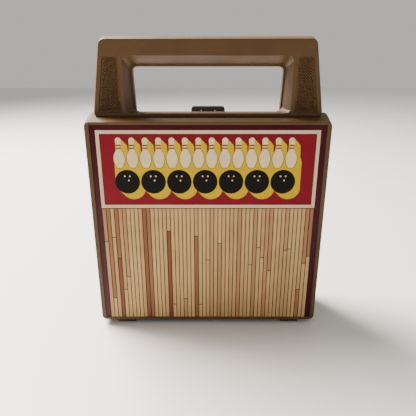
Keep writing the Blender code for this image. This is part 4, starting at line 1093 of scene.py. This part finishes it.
@dataclass
class Case:
    """The two moulded shells, with the knurled grip panels on the handle's legs."""

    easing: float = 0.28 * MM
    knurl_pitch: float = 2.0 * MM
    knurl_height: float = 0.85 * MM
    knurl_crest: float = 0.18 * MM
    knurl_margin: float = 0.35 * MM
    knurl_sink: float = 0.05 * MM
    # How far the panel's floor lies below the handle's outer face in the CAD model.
    floor_sink: float = 1.0 * MM
    floor_within: float = 0.02 * MM
    corner_within: float = 1.0 * MM

    def build(self) -> None:
        """Makes both shells and their four grip panels."""
        tree = knurl_tree()
        for half, node in ((Half.FRONT, "front_shell"), (Half.BACK, "back_shell")):
            eased(node, TAN_STYRENE, self.easing)
            floor = self.panel(node, half)
            level = abs(floor.y)
            grip = GripPlastic(
                "tan_styrene_grip", Slot.TAN, TAN_STYRENE.colour, TAN_STYRENE.roughness,
                TAN_STYRENE.ior, valley=level, crest=level + self.knurl_height,
            )
            for side in (-1, 1):
                self.knurl(tree, node, half, side, floor, grip)

    def panel(self, node: str, half: Half) -> GripFloor:
        """Finds the right grip panel's floor on a shell.

        Args:
            node: the shell.
            half: which half it is.

        Returns:
            Its inner and outer x at the bottom and at the top, its bottom and top z, and its y.
        """
        points = [vert.co for vert in frame["nodes"][node].data.vertices]
        deepest = max(half.value * p.y for p in points if p.z > self.handle_middle())
        level = deepest - self.floor_sink
        floor = [
            p for p in points
            if abs(half.value * p.y - level) < self.floor_within and p.z > self.case_top() and p.x > 0
        ]
        low, high = min(p.z for p in floor), max(p.z for p in floor)
        bottom = sorted(p.x for p in floor if p.z < low + self.corner_within)
        top = sorted(p.x for p in floor if p.z > high - self.corner_within)
        return GripFloor(bottom[0], bottom[-1], top[0], top[-1], low, high, half.value * level)

    def case_top(self) -> float:
        """Returns the z of the label's top, below the whole of the handle."""
        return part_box("front_label")[1].z

    def handle_middle(self) -> float:
        """Returns a z half way up the handle."""
        return (self.case_top() + CAD_BOX[1].z) / 2

    def knurl(
        self, tree: Tree, node: str, half: Half, side: int, floor: GripFloor, grip: Finish
    ) -> None:
        """Makes one panel's knurling.

        Args:
            tree: the knurl's geometry tree.
            node: the shell that it is on.
            half: which half that is.
            side: -1 for the left leg, 1 for the right one.
            floor: the right panel's floor.
            grip: what its surface is.
        """
        tall, middle = floor.high - floor.low, (floor.low + floor.high) / 2
        inner, outer = floor.inner_low + floor.inner_high, floor.outer_low + floor.outer_high
        centre = (inner + outer) / 4
        margin = self.knurl_margin + self.knurl_pitch / 2
        edges = [
            (inner / 2 - centre + margin, (floor.inner_high - floor.inner_low) / tall),
            (outer / 2 - centre - margin, (floor.outer_high - floor.outer_low) / tall),
        ]
        if side < 0:
            edges = [(-offset, -slope) for offset, slope in reversed(edges)]
        rows = 2 * int((tall - 2 * margin) / self.knurl_pitch)
        columns = 2 * (int((floor.outer_low - floor.inner_low) / self.knurl_pitch / 2) + 1)
        values = {
            "Columns": columns, "Rows": rows, "Pitch": self.knurl_pitch, "Height": self.knurl_height,
            "Crest": self.knurl_crest, "Left": edges[0][0], "Left slope": edges[0][1],
            "Right": edges[1][0], "Right slope": edges[1][1], "Material": grip.material(),
        }
        tag = "right" if side > 0 else "left"
        sunk = floor.y - half.value * self.knurl_sink
        name = f"{half.name.lower()}_grip_{tag}"
        obj = grown(name, tree, values, facing(half, side * centre, sunk, middle))
        if half is Half.FRONT:
            obj.data.flip_normals()
        fitted(obj, grip, frame["nodes"][node]["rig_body"])


@dataclass
class Hardware:
    """The latch, the hinge and latch pins, and the screws of the lane panels."""

    latch_easing: float = 0.35 * MM
    pin_easing: float = 0.12 * MM
    pin_sharp_above: float = 60.0
    recess_arm: float = 0.55 * MM
    recess_reach: float = 1.7 * MM
    recess_depth: float = 0.9 * MM
    recess_start: float = 1 * MM
    head_radius: float = 2.6 * MM
    head_height: float = 1.3 * MM
    head_dome: float = 0.55
    head_steps: int = 6
    shank_radius: float = 1.3 * MM
    thread_pitch: float = 1.4 * MM
    thread_height: float = 0.25 * MM
    point: float = 1 * MM
    steps: int = 32

    def build(self) -> None:
        """Makes every pin and screw, and the latch."""
        eased("latch", OLIVE_STYRENE, self.latch_easing)
        for node in ("hinge_pin_left", "hinge_pin_right", "latch_pin"):
            eased(node, PLATED_STEEL, self.pin_easing, self.pin_sharp_above)
        for half in Half:
            for tag in ("left", "right"):
                self.screw(f"{half.name.lower()}_lane_screw_{tag}", half)

    def screw(self, node: str, half: Half) -> None:
        """Makes a pan-head screw with a cross recess and a coarse thread.

        Args:
            node: the CAD screw that it stands for.
            half: the half of the case that it is in.
        """
        low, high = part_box(node)
        middle = (low + high) / 2
        length = high.y - low.y
        head_y = low.y if half is Half.BACK else high.y
        into = Vector((0, half.value, 0))
        profile = [(0.0, 0.0)]
        profile += [
            (self.head_radius * math.sin(a), self.head_height * self.head_dome * (1 - math.cos(a)))
            for a in (math.pi / 2 * i / self.head_steps for i in range(1, self.head_steps + 1))
        ]
        profile += [(self.head_radius, self.head_height), (self.shank_radius, self.head_height)]
        turns = int((length - self.head_height) / self.thread_pitch) - 1
        for i in range(turns):
            base = self.head_height + (i + 0.5) * self.thread_pitch
            profile.append((self.shank_radius - self.thread_height, base))
            profile.append((self.shank_radius, base + self.thread_pitch / 2))
        profile += [(self.shank_radius - self.thread_height, length - self.point), (0.0, length)]
        obj = turned(
            f"{node}_shape", profile, Vector((middle.x, head_y, middle.z)), into, self.steps
        )
        for across, tall in (
            (self.recess_arm, self.recess_reach), (self.recess_reach, self.recess_arm),
        ):
            box = rectangle(
                middle.x - across, middle.x + across, middle.z - tall, middle.z + tall
            )
            ends = sorted((head_y - into.y * self.recess_start, head_y + into.y * self.recess_depth))
            obj = cut(obj, slabs("recess", [box], *ends))
        fitted(shade(obj), PLATED_STEEL, frame["nodes"][node]["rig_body"], node)


# ---------------------------------------------------------------- printed front


@dataclass
class PinShape:
    """The outline of a bowling pin, as shares of its height and of its belly's radius."""

    profile: tuple[tuple[float, float], ...] = (
        (0.00, 0.44), (0.09, 0.70), (0.20, 0.93), (0.30, 1.00), (0.38, 0.965), (0.49, 0.76),
        (0.60, 0.45), (0.68, 0.375), (0.82, 0.48), (0.895, 0.535), (0.94, 0.49), (0.985, 0.30),
    )

    def side(self, height: float, radius: float) -> Outline:
        """Returns the right side as (radius, height), from the base to the top of the head."""
        line = curve_through([*self.profile, (1.0, 0.0)], OUTLINE_STEPS)
        return [(max(share, 0.0) * radius, level * height) for level, share in line]

    def outline(self, x: float, base: float, height: float, radius: float) -> Outline:
        """Draws the whole outline of a standing pin.

        Args:
            x: where its axis is.
            base: the z of its base.
            height: its height.
            radius: its belly's radius.

        Returns:
            The outline's points, anticlockwise from the base.
        """
        side = self.side(height, radius)
        right = [(x + r, base + h) for r, h in side]
        left = [(x - r, base + h) for r, h in reversed(side[:-1])]
        return right + left

    def top_at(self, offset: float, height: float, radius: float) -> float | None:
        """Returns how high the pin reaches at this distance from its axis, if it does."""
        levels = [h for r, h in self.side(height, radius) if r >= abs(offset)]
        return max(levels) if levels else None


@dataclass
class Label:
    """The printed front sheet: a banner with pins and balls over a strip-floor pattern."""

    side_border: float = 4.05 * MM
    top_border: float = 3.5 * MM
    banner_height: float = 59.4 * MM
    frame_band: float = 2.6 * MM
    line: float = 0.35 * MM
    rule: float = 0.55 * MM
    ink: float = 0.03 * MM
    easing: float = 0.05 * MM
    row_left: float = -69.5 * MM
    row_right: float = 65.3 * MM
    balls: int = 7
    ball_radius: float = 9.25 * MM
    ball_drop: float = 35.9 * MM
    pins: int = 14
    pin_height: float = 22.6 * MM
    pin_radius: float = 4.15 * MM
    pin_base_drop: float = 25.2 * MM
    cast_across: float = 4.2 * MM
    cast_down: float = 4.4 * MM
    cast_steps: int = 10
    sample: float = 0.35 * MM
    ring_shares: tuple[float, float] = (0.655, 0.745)
    ring_half: float = 0.5 * MM
    ring_reach: float = 0.41
    ball_points: int = 64
    hole_points: int = 20
    hole_radius: float = 0.6 * MM
    # Each finger hole's place from its ball's middle.
    holes: tuple[tuple[float, float], ...] = (
        (-1.9 * MM, 4.3 * MM), (1.9 * MM, 4.3 * MM), (0.9 * MM, 1.1 * MM),
    )
    board_pitch: float = 3.05 * MM
    board_gap: float = 0.6 * MM
    board_skew: float = 3.4
    seed: int = 11

    def __post_init__(self) -> None:
        """Reads the sheet's place from the frame."""
        low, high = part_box("front_label")
        self.front = low.y
        self.back = high.y
        self.left, self.right = low.x, high.x
        self.low, self.high = low.z, high.z
        self.art_left, self.art_right = low.x + self.side_border, high.x - self.side_border
        self.art_top = high.z - self.top_border
        self.banner_low = self.art_top - self.banner_height
        self.red_top = self.art_top - self.frame_band
        self.shape = PinShape()

    def level(self, layer: int) -> float:
        """Returns the y of a print layer's face; a higher layer lies further out."""
        return self.front - layer * self.ink

    def ball_places(self) -> list[tuple[float, float]]:
        """Returns the (x, z) of each ball's middle."""
        z = self.red_top - self.ball_drop
        first, last = self.row_left + self.ball_radius, self.row_right - self.ball_radius
        return [(first + (last - first) * i / (self.balls - 1), z) for i in range(self.balls)]

    def pin_places(self) -> list[tuple[float, float]]:
        """Returns the (x, z) of the middle of each pin's base."""
        z = self.red_top - self.pin_base_drop
        first, last = self.row_left + self.pin_radius, self.row_right - self.pin_radius
        return [(first + (last - first) * i / (self.pins - 1), z) for i in range(self.pins)]

    def build(self, boards: Tree) -> None:
        """Prints the sheet, layer by layer.

        Args:
            boards: the strip floor's geometry tree.
        """
        self.sheet()
        self.grounds()
        self.cast_shadow()
        self.pin_row()
        self.ball_row()
        self.floor(boards)

    def printed(self, name: str, outlines: list[Outline], layer: int, ink: Finish) -> None:
        """Makes one layer of print, which reaches half an ink layer into the one below it.

        Args:
            name: the piece's name.
            outlines: its shapes.
            layer: which layer it is, from 1 on the bare sheet.
            ink: the ink that it is printed in.
        """
        obj = slabs(name, outlines, self.level(layer), self.level(layer - 1) + self.ink / 2)
        fitted(shade(obj), ink, "front_case")

    def sheet(self) -> None:
        """Makes the sheet itself, whose border shows maroon, with a slightly eased cut edge."""
        outline = rectangle(self.left, self.right, self.low, self.high)
        obj = slabs("label_sheet", [outline], self.front, self.back)
        bevel = obj.modifiers.new("cut_edge", "BEVEL")
        bevel.width = self.easing
        bevel.segments = 2
        fitted(shade(settled(obj)), MAROON_INK, "front_case", "front_label")

    def grounds(self) -> None:
        """Makes the cream banner, its thin dark lines, the red field and the boards' dark ground."""
        banner = rectangle(self.art_left, self.art_right, self.banner_low, self.art_top)
        self.printed("label_banner", [banner], 1, CREAM_INK)
        inset = self.frame_band
        field_low = self.banner_low + inset
        outer = rectangle(
            self.art_left + inset, self.art_right - inset, field_low, self.red_top
        )
        inner = rectangle(
            self.art_left + inset + self.line, self.art_right - inset - self.line,
            field_low + self.line, self.red_top - self.line,
        )
        self.printed("label_field_line", [outer], 2, BLACK_INK)
        self.printed("label_field", [inner], 3, RED_INK)
        ground = rectangle(self.art_left, self.art_right, self.low, self.banner_low)
        self.printed("label_floor_ground", [ground], 1, BROWN_INK)
        rule = rectangle(
            self.art_left, self.art_right, self.banner_low - self.rule, self.banner_low
        )
        self.printed("label_rule", [rule], 2, BLACK_INK)

    def cast_shadow(self) -> None:
        """Makes the yellow shadow that the pins and balls cast down to the right."""
        reach = self.row_right + self.cast_across - self.row_left
        count = int(reach / self.sample)
        step = reach / count
        upper: Outline = []
        lower: Outline = []
        for i in range(count + 1):
            x = self.row_left + step * i
            top, bottom = self.shadow_top(x), self.shadow_bottom(x)
            if top is not None and bottom is not None and top > bottom:
                upper.append((x, top))
                lower.append((x, bottom))
        bm = bmesh.new()
        near, far = self.level(4), self.level(3) + self.ink / 2
        columns = [
            [bm.verts.new((x, y, z)) for x, z in (low, high) for y in (near, far)]
            for low, high in zip(lower, upper)
        ]
        for a, b in zip(columns, columns[1:]):
            for p, q in ((0, 2), (3, 1), (1, 0), (2, 3)):
                bm.faces.new((a[p], b[p], b[q], a[q]))
        bm.faces.new([columns[0][i] for i in (0, 2, 3, 1)])
        bm.faces.new([columns[-1][i] for i in (0, 1, 3, 2)])
        bmesh.ops.recalc_face_normals(bm, faces=bm.faces)
        fitted(shade(object_of("label_cast", bm)), YELLOW_INK, "front_case")

    def shadow_top(self, x: float) -> float | None:
        """Finds the upper edge of the cast shadow, the highest of the pins swept along it.

        Args:
            x: where across the sheet.

        Returns:
            The edge's z, or None beside the row.
        """
        found = []
        for place, base in self.pin_places():
            for i in range(self.cast_steps + 1):
                share = i / self.cast_steps
                offset = x - place - share * self.cast_across
                top = self.shape.top_at(offset, self.pin_height, self.pin_radius)
                if top is not None:
                    found.append(base + top - share * self.cast_down)
        return max(found) if found else None

    def shadow_bottom(self, x: float) -> float | None:
        """Finds the lower edge of the cast shadow, the lowest of the balls swept along it.

        Args:
            x: where across the sheet.

        Returns:
            The edge's z, or None beside the row.
        """
        found = []
        for place, middle in self.ball_places():
            for i in range(self.cast_steps + 1):
                share = i / self.cast_steps
                offset = x - place - share * self.cast_across
                if abs(offset) <= self.ball_radius:
                    drop = math.sqrt(self.ball_radius**2 - offset**2)
                    found.append(middle - drop - share * self.cast_down)
        return min(found) if found else None

    def pin_row(self) -> None:
        """Makes the row of cream pins with dark outlines and red neck rings."""
        around, pins, rings = [], [], []
        for x, base in self.pin_places():
            line = self.line
            around.append(
                self.shape.outline(
                    x, base - line, self.pin_height + 2 * line, self.pin_radius + line
                )
            )
            pins.append(self.shape.outline(x, base, self.pin_height, self.pin_radius))
            for share in self.ring_shares:
                level, half = base + share * self.pin_height, self.ring_half
                across = self.pin_radius * self.ring_reach
                rings.append(rectangle(x - across, x + across, level - half, level + half))
        self.printed("label_pin_lines", around, 5, BLACK_INK)
        self.printed("label_pins", pins, 6, IVORY_INK)
        self.printed("label_pin_rings", rings, 7, RED_INK)

    def ball_row(self) -> None:
        """Makes the row of black balls, each with three small finger holes."""
        balls, holes = [], []
        for x, z in self.ball_places():
            balls.append(disc(x, z, self.ball_radius, self.ball_points))
            for across, rise in self.holes:
                holes.append(disc(x + across, z + rise, self.hole_radius, self.hole_points))
        self.printed("label_balls", balls, 5, BLACK_INK)
        self.printed("label_finger_holes", holes, 6, IVORY_INK)

    def floor(self, boards: Tree) -> None:
        """Makes the strip-floor pattern below the banner.

        Args:
            boards: the strip floor's geometry tree.
        """
        width = self.art_right - self.art_left
        count = int(width / self.board_pitch)
        pitch = width / count
        values = {
            "Count": count, "Pitch": pitch, "Gap": self.board_gap,
            "Length": self.banner_low - self.rule - self.low, "Thickness": 2 * self.ink,
            "Skew": self.board_skew, "Seed": self.seed,
            "Material": SHEET_BOARDS.material(),
        }
        place = facing(Half.FRONT, self.art_left + pitch / 2, self.level(1), self.low)
        obj = grown("label_boards", boards, values, place)
        obj.data.flip_normals()
        fitted(obj, SHEET_BOARDS, "front_case")


# ---------------------------------------------------------------- inside: lanes, rack and pins


@dataclass
class Lanes:
    """The two lane panels, each with a printed strip floor between its gutters."""

    easing: float = 0.2 * MM
    half_width: float = 55.2 * MM
    end_margin: float = 1.2 * MM
    board_pitch: float = 4.4 * MM
    board_gap: float = 0.25 * MM
    film: float = 0.12 * MM
    ink: float = 0.05 * MM
    dart_length: float = 6.0 * MM
    dart_half: float = 1.5 * MM
    dart_step: float = 13.2 * MM
    dart_slant: float = 5.0 * MM
    dart_height: float = 60 * MM
    darts_each_side: int = 3
    spot_radius: float = 2.2 * MM
    spot_pitch: float = 17.0 * MM
    spot_height: float = 70 * MM
    spot_rows: int = 4
    spot_points: int = 24
    butted: float = 0.5
    seeds: tuple[int, int] = (5, 23)

    def build(self, boards: Tree) -> None:
        """Makes both panels with their floors, the arrows on one and the pin spots on the other.

        Args:
            boards: the strip floor's geometry tree.
        """
        for half, node, seed in zip((Half.BACK, Half.FRONT), ("back_lane", "front_lane"), self.seeds):
            eased(node, LANE_STYRENE, self.easing)
            low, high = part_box(node)
            surface = low.y if half is Half.BACK else high.y
            bottom, top = low.z + self.end_margin, high.z - self.end_margin
            count = int(2 * self.half_width / self.board_pitch)
            pitch = 2 * self.half_width / count
            values = {
                "Count": count, "Pitch": pitch, "Gap": self.board_gap, "Length": top - bottom,
                "Thickness": 2 * self.film, "Butted": self.butted, "Seed": seed,
                "Material": LANE_BOARDS.material(),
            }
            place = facing(half, pitch / 2 - self.half_width, surface, bottom, False)
            floor = grown(f"{node}_boards", boards, values, place)
            if half is Half.BACK:
                floor.data.flip_normals()
            fitted(floor, LANE_BOARDS, frame["nodes"][node]["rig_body"])
            inward = -half.value
            print_y = sorted((surface + inward * self.film, surface + inward * (self.film + self.ink)))
            shapes = self.darts(bottom) if half is Half.FRONT else self.spots(bottom)
            name = f"{node}_arrows" if half is Half.FRONT else f"{node}_spots"
            marks = slabs(name, shapes, print_y[0], print_y[1])
            fitted(shade(marks), BLACK_INK, frame["nodes"][node]["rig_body"])

    def darts(self, bottom: float) -> list[Outline]:
        """Draws the aiming arrows in a flat chevron.

        Args:
            bottom: the z where the floor starts.

        Returns:
            The outline of each arrow.
        """
        shapes = []
        for i in range(-self.darts_each_side, self.darts_each_side + 1):
            x, z = i * self.dart_step, bottom + self.dart_height - abs(i) * self.dart_slant
            shapes.append([(x - self.dart_half, z), (x + self.dart_half, z), (x, z + self.dart_length)])
        return shapes

    def spots(self, bottom: float) -> list[Outline]:
        """Draws the spots of the ten pins, in a triangle with its point at the bottom.

        Args:
            bottom: the z where the floor starts.

        Returns:
            The outline of each spot.
        """
        shapes = []
        for row in range(self.spot_rows):
            for i in range(row + 1):
                x = (i - row / 2) * self.spot_pitch
                z = bottom + self.spot_height - row * self.spot_pitch * math.sqrt(3) / 2
                shapes.append(disc(x, z, self.spot_radius, self.spot_points))
        return shapes


@dataclass
class PinStore:
    """The rack and the ten pins that it holds."""

    rack_easing: float = 0.25 * MM
    steps: int = 40
    pins: int = 10
    sharp_above: float = 50.0
    ring_shares: tuple[float, float] = (0.74, 0.79)

    def build(self) -> None:
        """Makes the rack and every pin."""
        eased("storage_rack", TAN_STYRENE, self.rack_easing)
        low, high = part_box("pin_1")
        tall = high.z - low.z
        rings = tuple(low.z + share * tall for share in self.ring_shares)
        # Blow-moulded polyethylene, white and softly glossy, with painted rings.
        plastic = BandedPlastic(
            "pin_polyethylene", Slot.WHITE, "#E9E3D2", 0.3, 1.51, wear_and_shade="#F4F0E6", wear=0.15, rings=rings
        )
        for number in range(1, self.pins + 1):
            self.pin(f"pin_{number}", plastic)

    def pin(self, node: str, plastic: Finish) -> None:
        """Makes one turned pin with a smooth outline.

        Args:
            node: the CAD pin that it stands for, whose body has the same name.
            plastic: what its surface is.
        """
        low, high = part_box(node)
        middle, radius = (low + high) / 2, (high.x - low.x) / 2
        profile = [(0.0, 0.0), *PinShape().side(high.z - low.z, radius)]
        base = Vector((middle.x, middle.y, low.z))
        obj = turned(f"{node}_shape", profile, base, Vector((0, 0, 1)), self.steps)
        fitted(shade(obj, self.sharp_above), plastic, node, node)


# ---------------------------------------------------------------- walking ball


@dataclass
class Walker:
    """The walking ball: round shells, feet, knob, cranks and the wind-up movement."""

    round_tolerance: float = 0.35 * MM
    fine_edge: float = 1.3 * MM
    splits: int = 3
    seam_above: float = 40.0
    easing: float = 0.2 * MM
    fine_easing: float = 0.06 * MM
    plate_sharp_above: float = 50.0
    shaft_sharp_above: float = 60.0

    def build(self) -> None:
        """Makes every piece of the ball."""
        for node in ("ball_shell_left", "ball_shell_right"):
            self.shell(node)
        for node in ("left_foot", "right_foot"):
            eased(node, ORANGE_POLYPROPYLENE, self.easing)
        for node in ("wind_knob", "left_crank", "right_crank"):
            eased(node, WHITE_ACETAL, self.easing)
        for node in ("movement_frame", "movement_cover"):
            eased(node, ZINC_PLATE, self.fine_easing, self.plate_sharp_above)
        screws = ("movement_screw_rear", "movement_screw_front")
        for node in ("wind_shaft", "idler_axle", "crank_axle", *screws):
            eased(node, PLATED_STEEL, self.fine_easing, self.shaft_sharp_above)
        for node in ("drive_gear", "idler_gear", "crank_pinion"):
            dressed(node, STAMPED_BRASS)
        dressed("mainspring", BLUED_STEEL)

    def shell(self, node: str) -> None:
        """Makes one half of the ball truly round.

        Args:
            node: the CAD shell, whose faces lie close to the sphere.
        """
        low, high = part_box("ball_shell_left")[0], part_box("ball_shell_right")[1]
        centre = (low + high) / 2
        outer = (high.z - low.z) / 2
        bm = merged_copy(node)
        bmesh.ops.triangulate(bm, faces=bm.faces)
        for _ in range(self.splits):
            long = [edge for edge in bm.edges if edge.calc_length() > self.fine_edge]
            bmesh.ops.subdivide_edges(bm, edges=long, cuts=1)
            bmesh.ops.triangulate(bm, faces=bm.faces)
        for vert in bm.verts:
            reach = (vert.co - centre).length
            if abs(reach - outer) < self.round_tolerance:
                vert.co = centre + (vert.co - centre) * (outer / reach)
        obj = shade(object_of(f"{node}_shape", bm), self.seam_above)
        fitted(obj, BLACK_STYRENE, "walker", node)


# ---------------------------------------------------------------- stage


@dataclass
class Stage:
    """A pale table, soft light from above and behind on the left, and the camera."""

    floor_half: float = 3.0
    floor_cloud: float = 142.9 * MM
    camera_place: tuple[float, float, float] = (0.0, -0.326, 0.212)
    camera_tilt: float = 70.3
    lens: float = 36.1
    sensor: float = 36.0
    world_strength: float = 0.7

    def build(self) -> None:
        """Makes the floor, the lights and the camera."""
        self.floor()
        self.light("key", (-0.7, 0.5, 1.1), 0.8, 108.0, "#FFF8F0")
        self.light("fill", (-1.1, -0.9, 0.7), 1.2, 1.0, "#FFF0DC")
        self.world()
        camera = bpy.data.objects.new("camera", bpy.data.cameras.new("camera"))
        bpy.context.scene.collection.objects.link(camera)
        camera.location = self.camera_place
        camera.rotation_euler = (math.radians(self.camera_tilt), 0.0, 0.0)
        camera.data.lens = self.lens
        camera.data.sensor_width = self.sensor
        bpy.context.scene.camera = camera

    def floor(self) -> None:
        """Makes the table top, a flat sheet of pale, faintly clouded laminate."""
        bm = bmesh.new()
        bmesh.ops.create_grid(bm, x_segments=4, y_segments=4, size=self.floor_half)
        floor = object_of("floor", bm)
        # High-pressure laminate: flat, off-white and half matt.
        material = bpy.data.materials.new("pale_laminate")
        material.use_nodes = True
        tree = material.node_tree
        shader = tree.nodes["Principled BSDF"]
        place = add(tree, "ShaderNodeTexCoord").outputs["Object"]
        cloud = add(
            tree, "ShaderNodeTexNoise",
            {"Vector": place, "Scale": 1 / self.floor_cloud, "Detail": 3.0},
        )
        colour = add(
            tree, "ShaderNodeMix",
            {0: cloud.outputs[0], 6: linear("#E4E2E0"), 7: linear("#ECEAE8")}, data_type="RGBA",
        )
        tree.links.new(colour.outputs[2], shader.inputs["Base Color"])
        shader.inputs["Roughness"].default_value = 0.5
        floor.data.materials.append(material)

    def light(
        self, name: str, place: tuple[float, float, float], size: float, power: float, colour: str
    ) -> None:
        """Makes a square area light that points at the case's middle.

        Args:
            name: the light's name.
            place: where it stands, in metres.
            size: its side.
            power: its power in watts.
            colour: its sRGB hex colour.
        """
        data = bpy.data.lights.new(name, "AREA")
        data.size = size
        data.energy = power
        data.color = linear(colour)[:3]
        lamp = bpy.data.objects.new(name, data)
        bpy.context.scene.collection.objects.link(lamp)
        lamp.location = place
        aim = Vector((0.0, 0.0, CAD_BOX[1].z / 2)) - lamp.location
        lamp.rotation_mode = "QUATERNION"
        lamp.rotation_quaternion = aim.to_track_quat("-Z", "Y")

    def world(self) -> None:
        """Makes an even pale background."""
        world = bpy.data.worlds.new("studio")
        bpy.context.scene.world = world
        world.use_nodes = True
        background = world.node_tree.nodes["Background"]
        background.inputs["Color"].default_value = linear("#E6E3DE")
        background.inputs["Strength"].default_value = self.world_strength


def main() -> None:
    """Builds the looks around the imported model, in order."""
    logging.basicConfig(level=logging.INFO, format="%(name)s: %(message)s")
    boards = board_tree()
    Stage().build()
    Case().build()
    Hardware().build()
    Label().build(boards)
    Lanes().build(boards)
    PinStore().build()
    Walker().build()


if __name__ == "__main__":
    main()
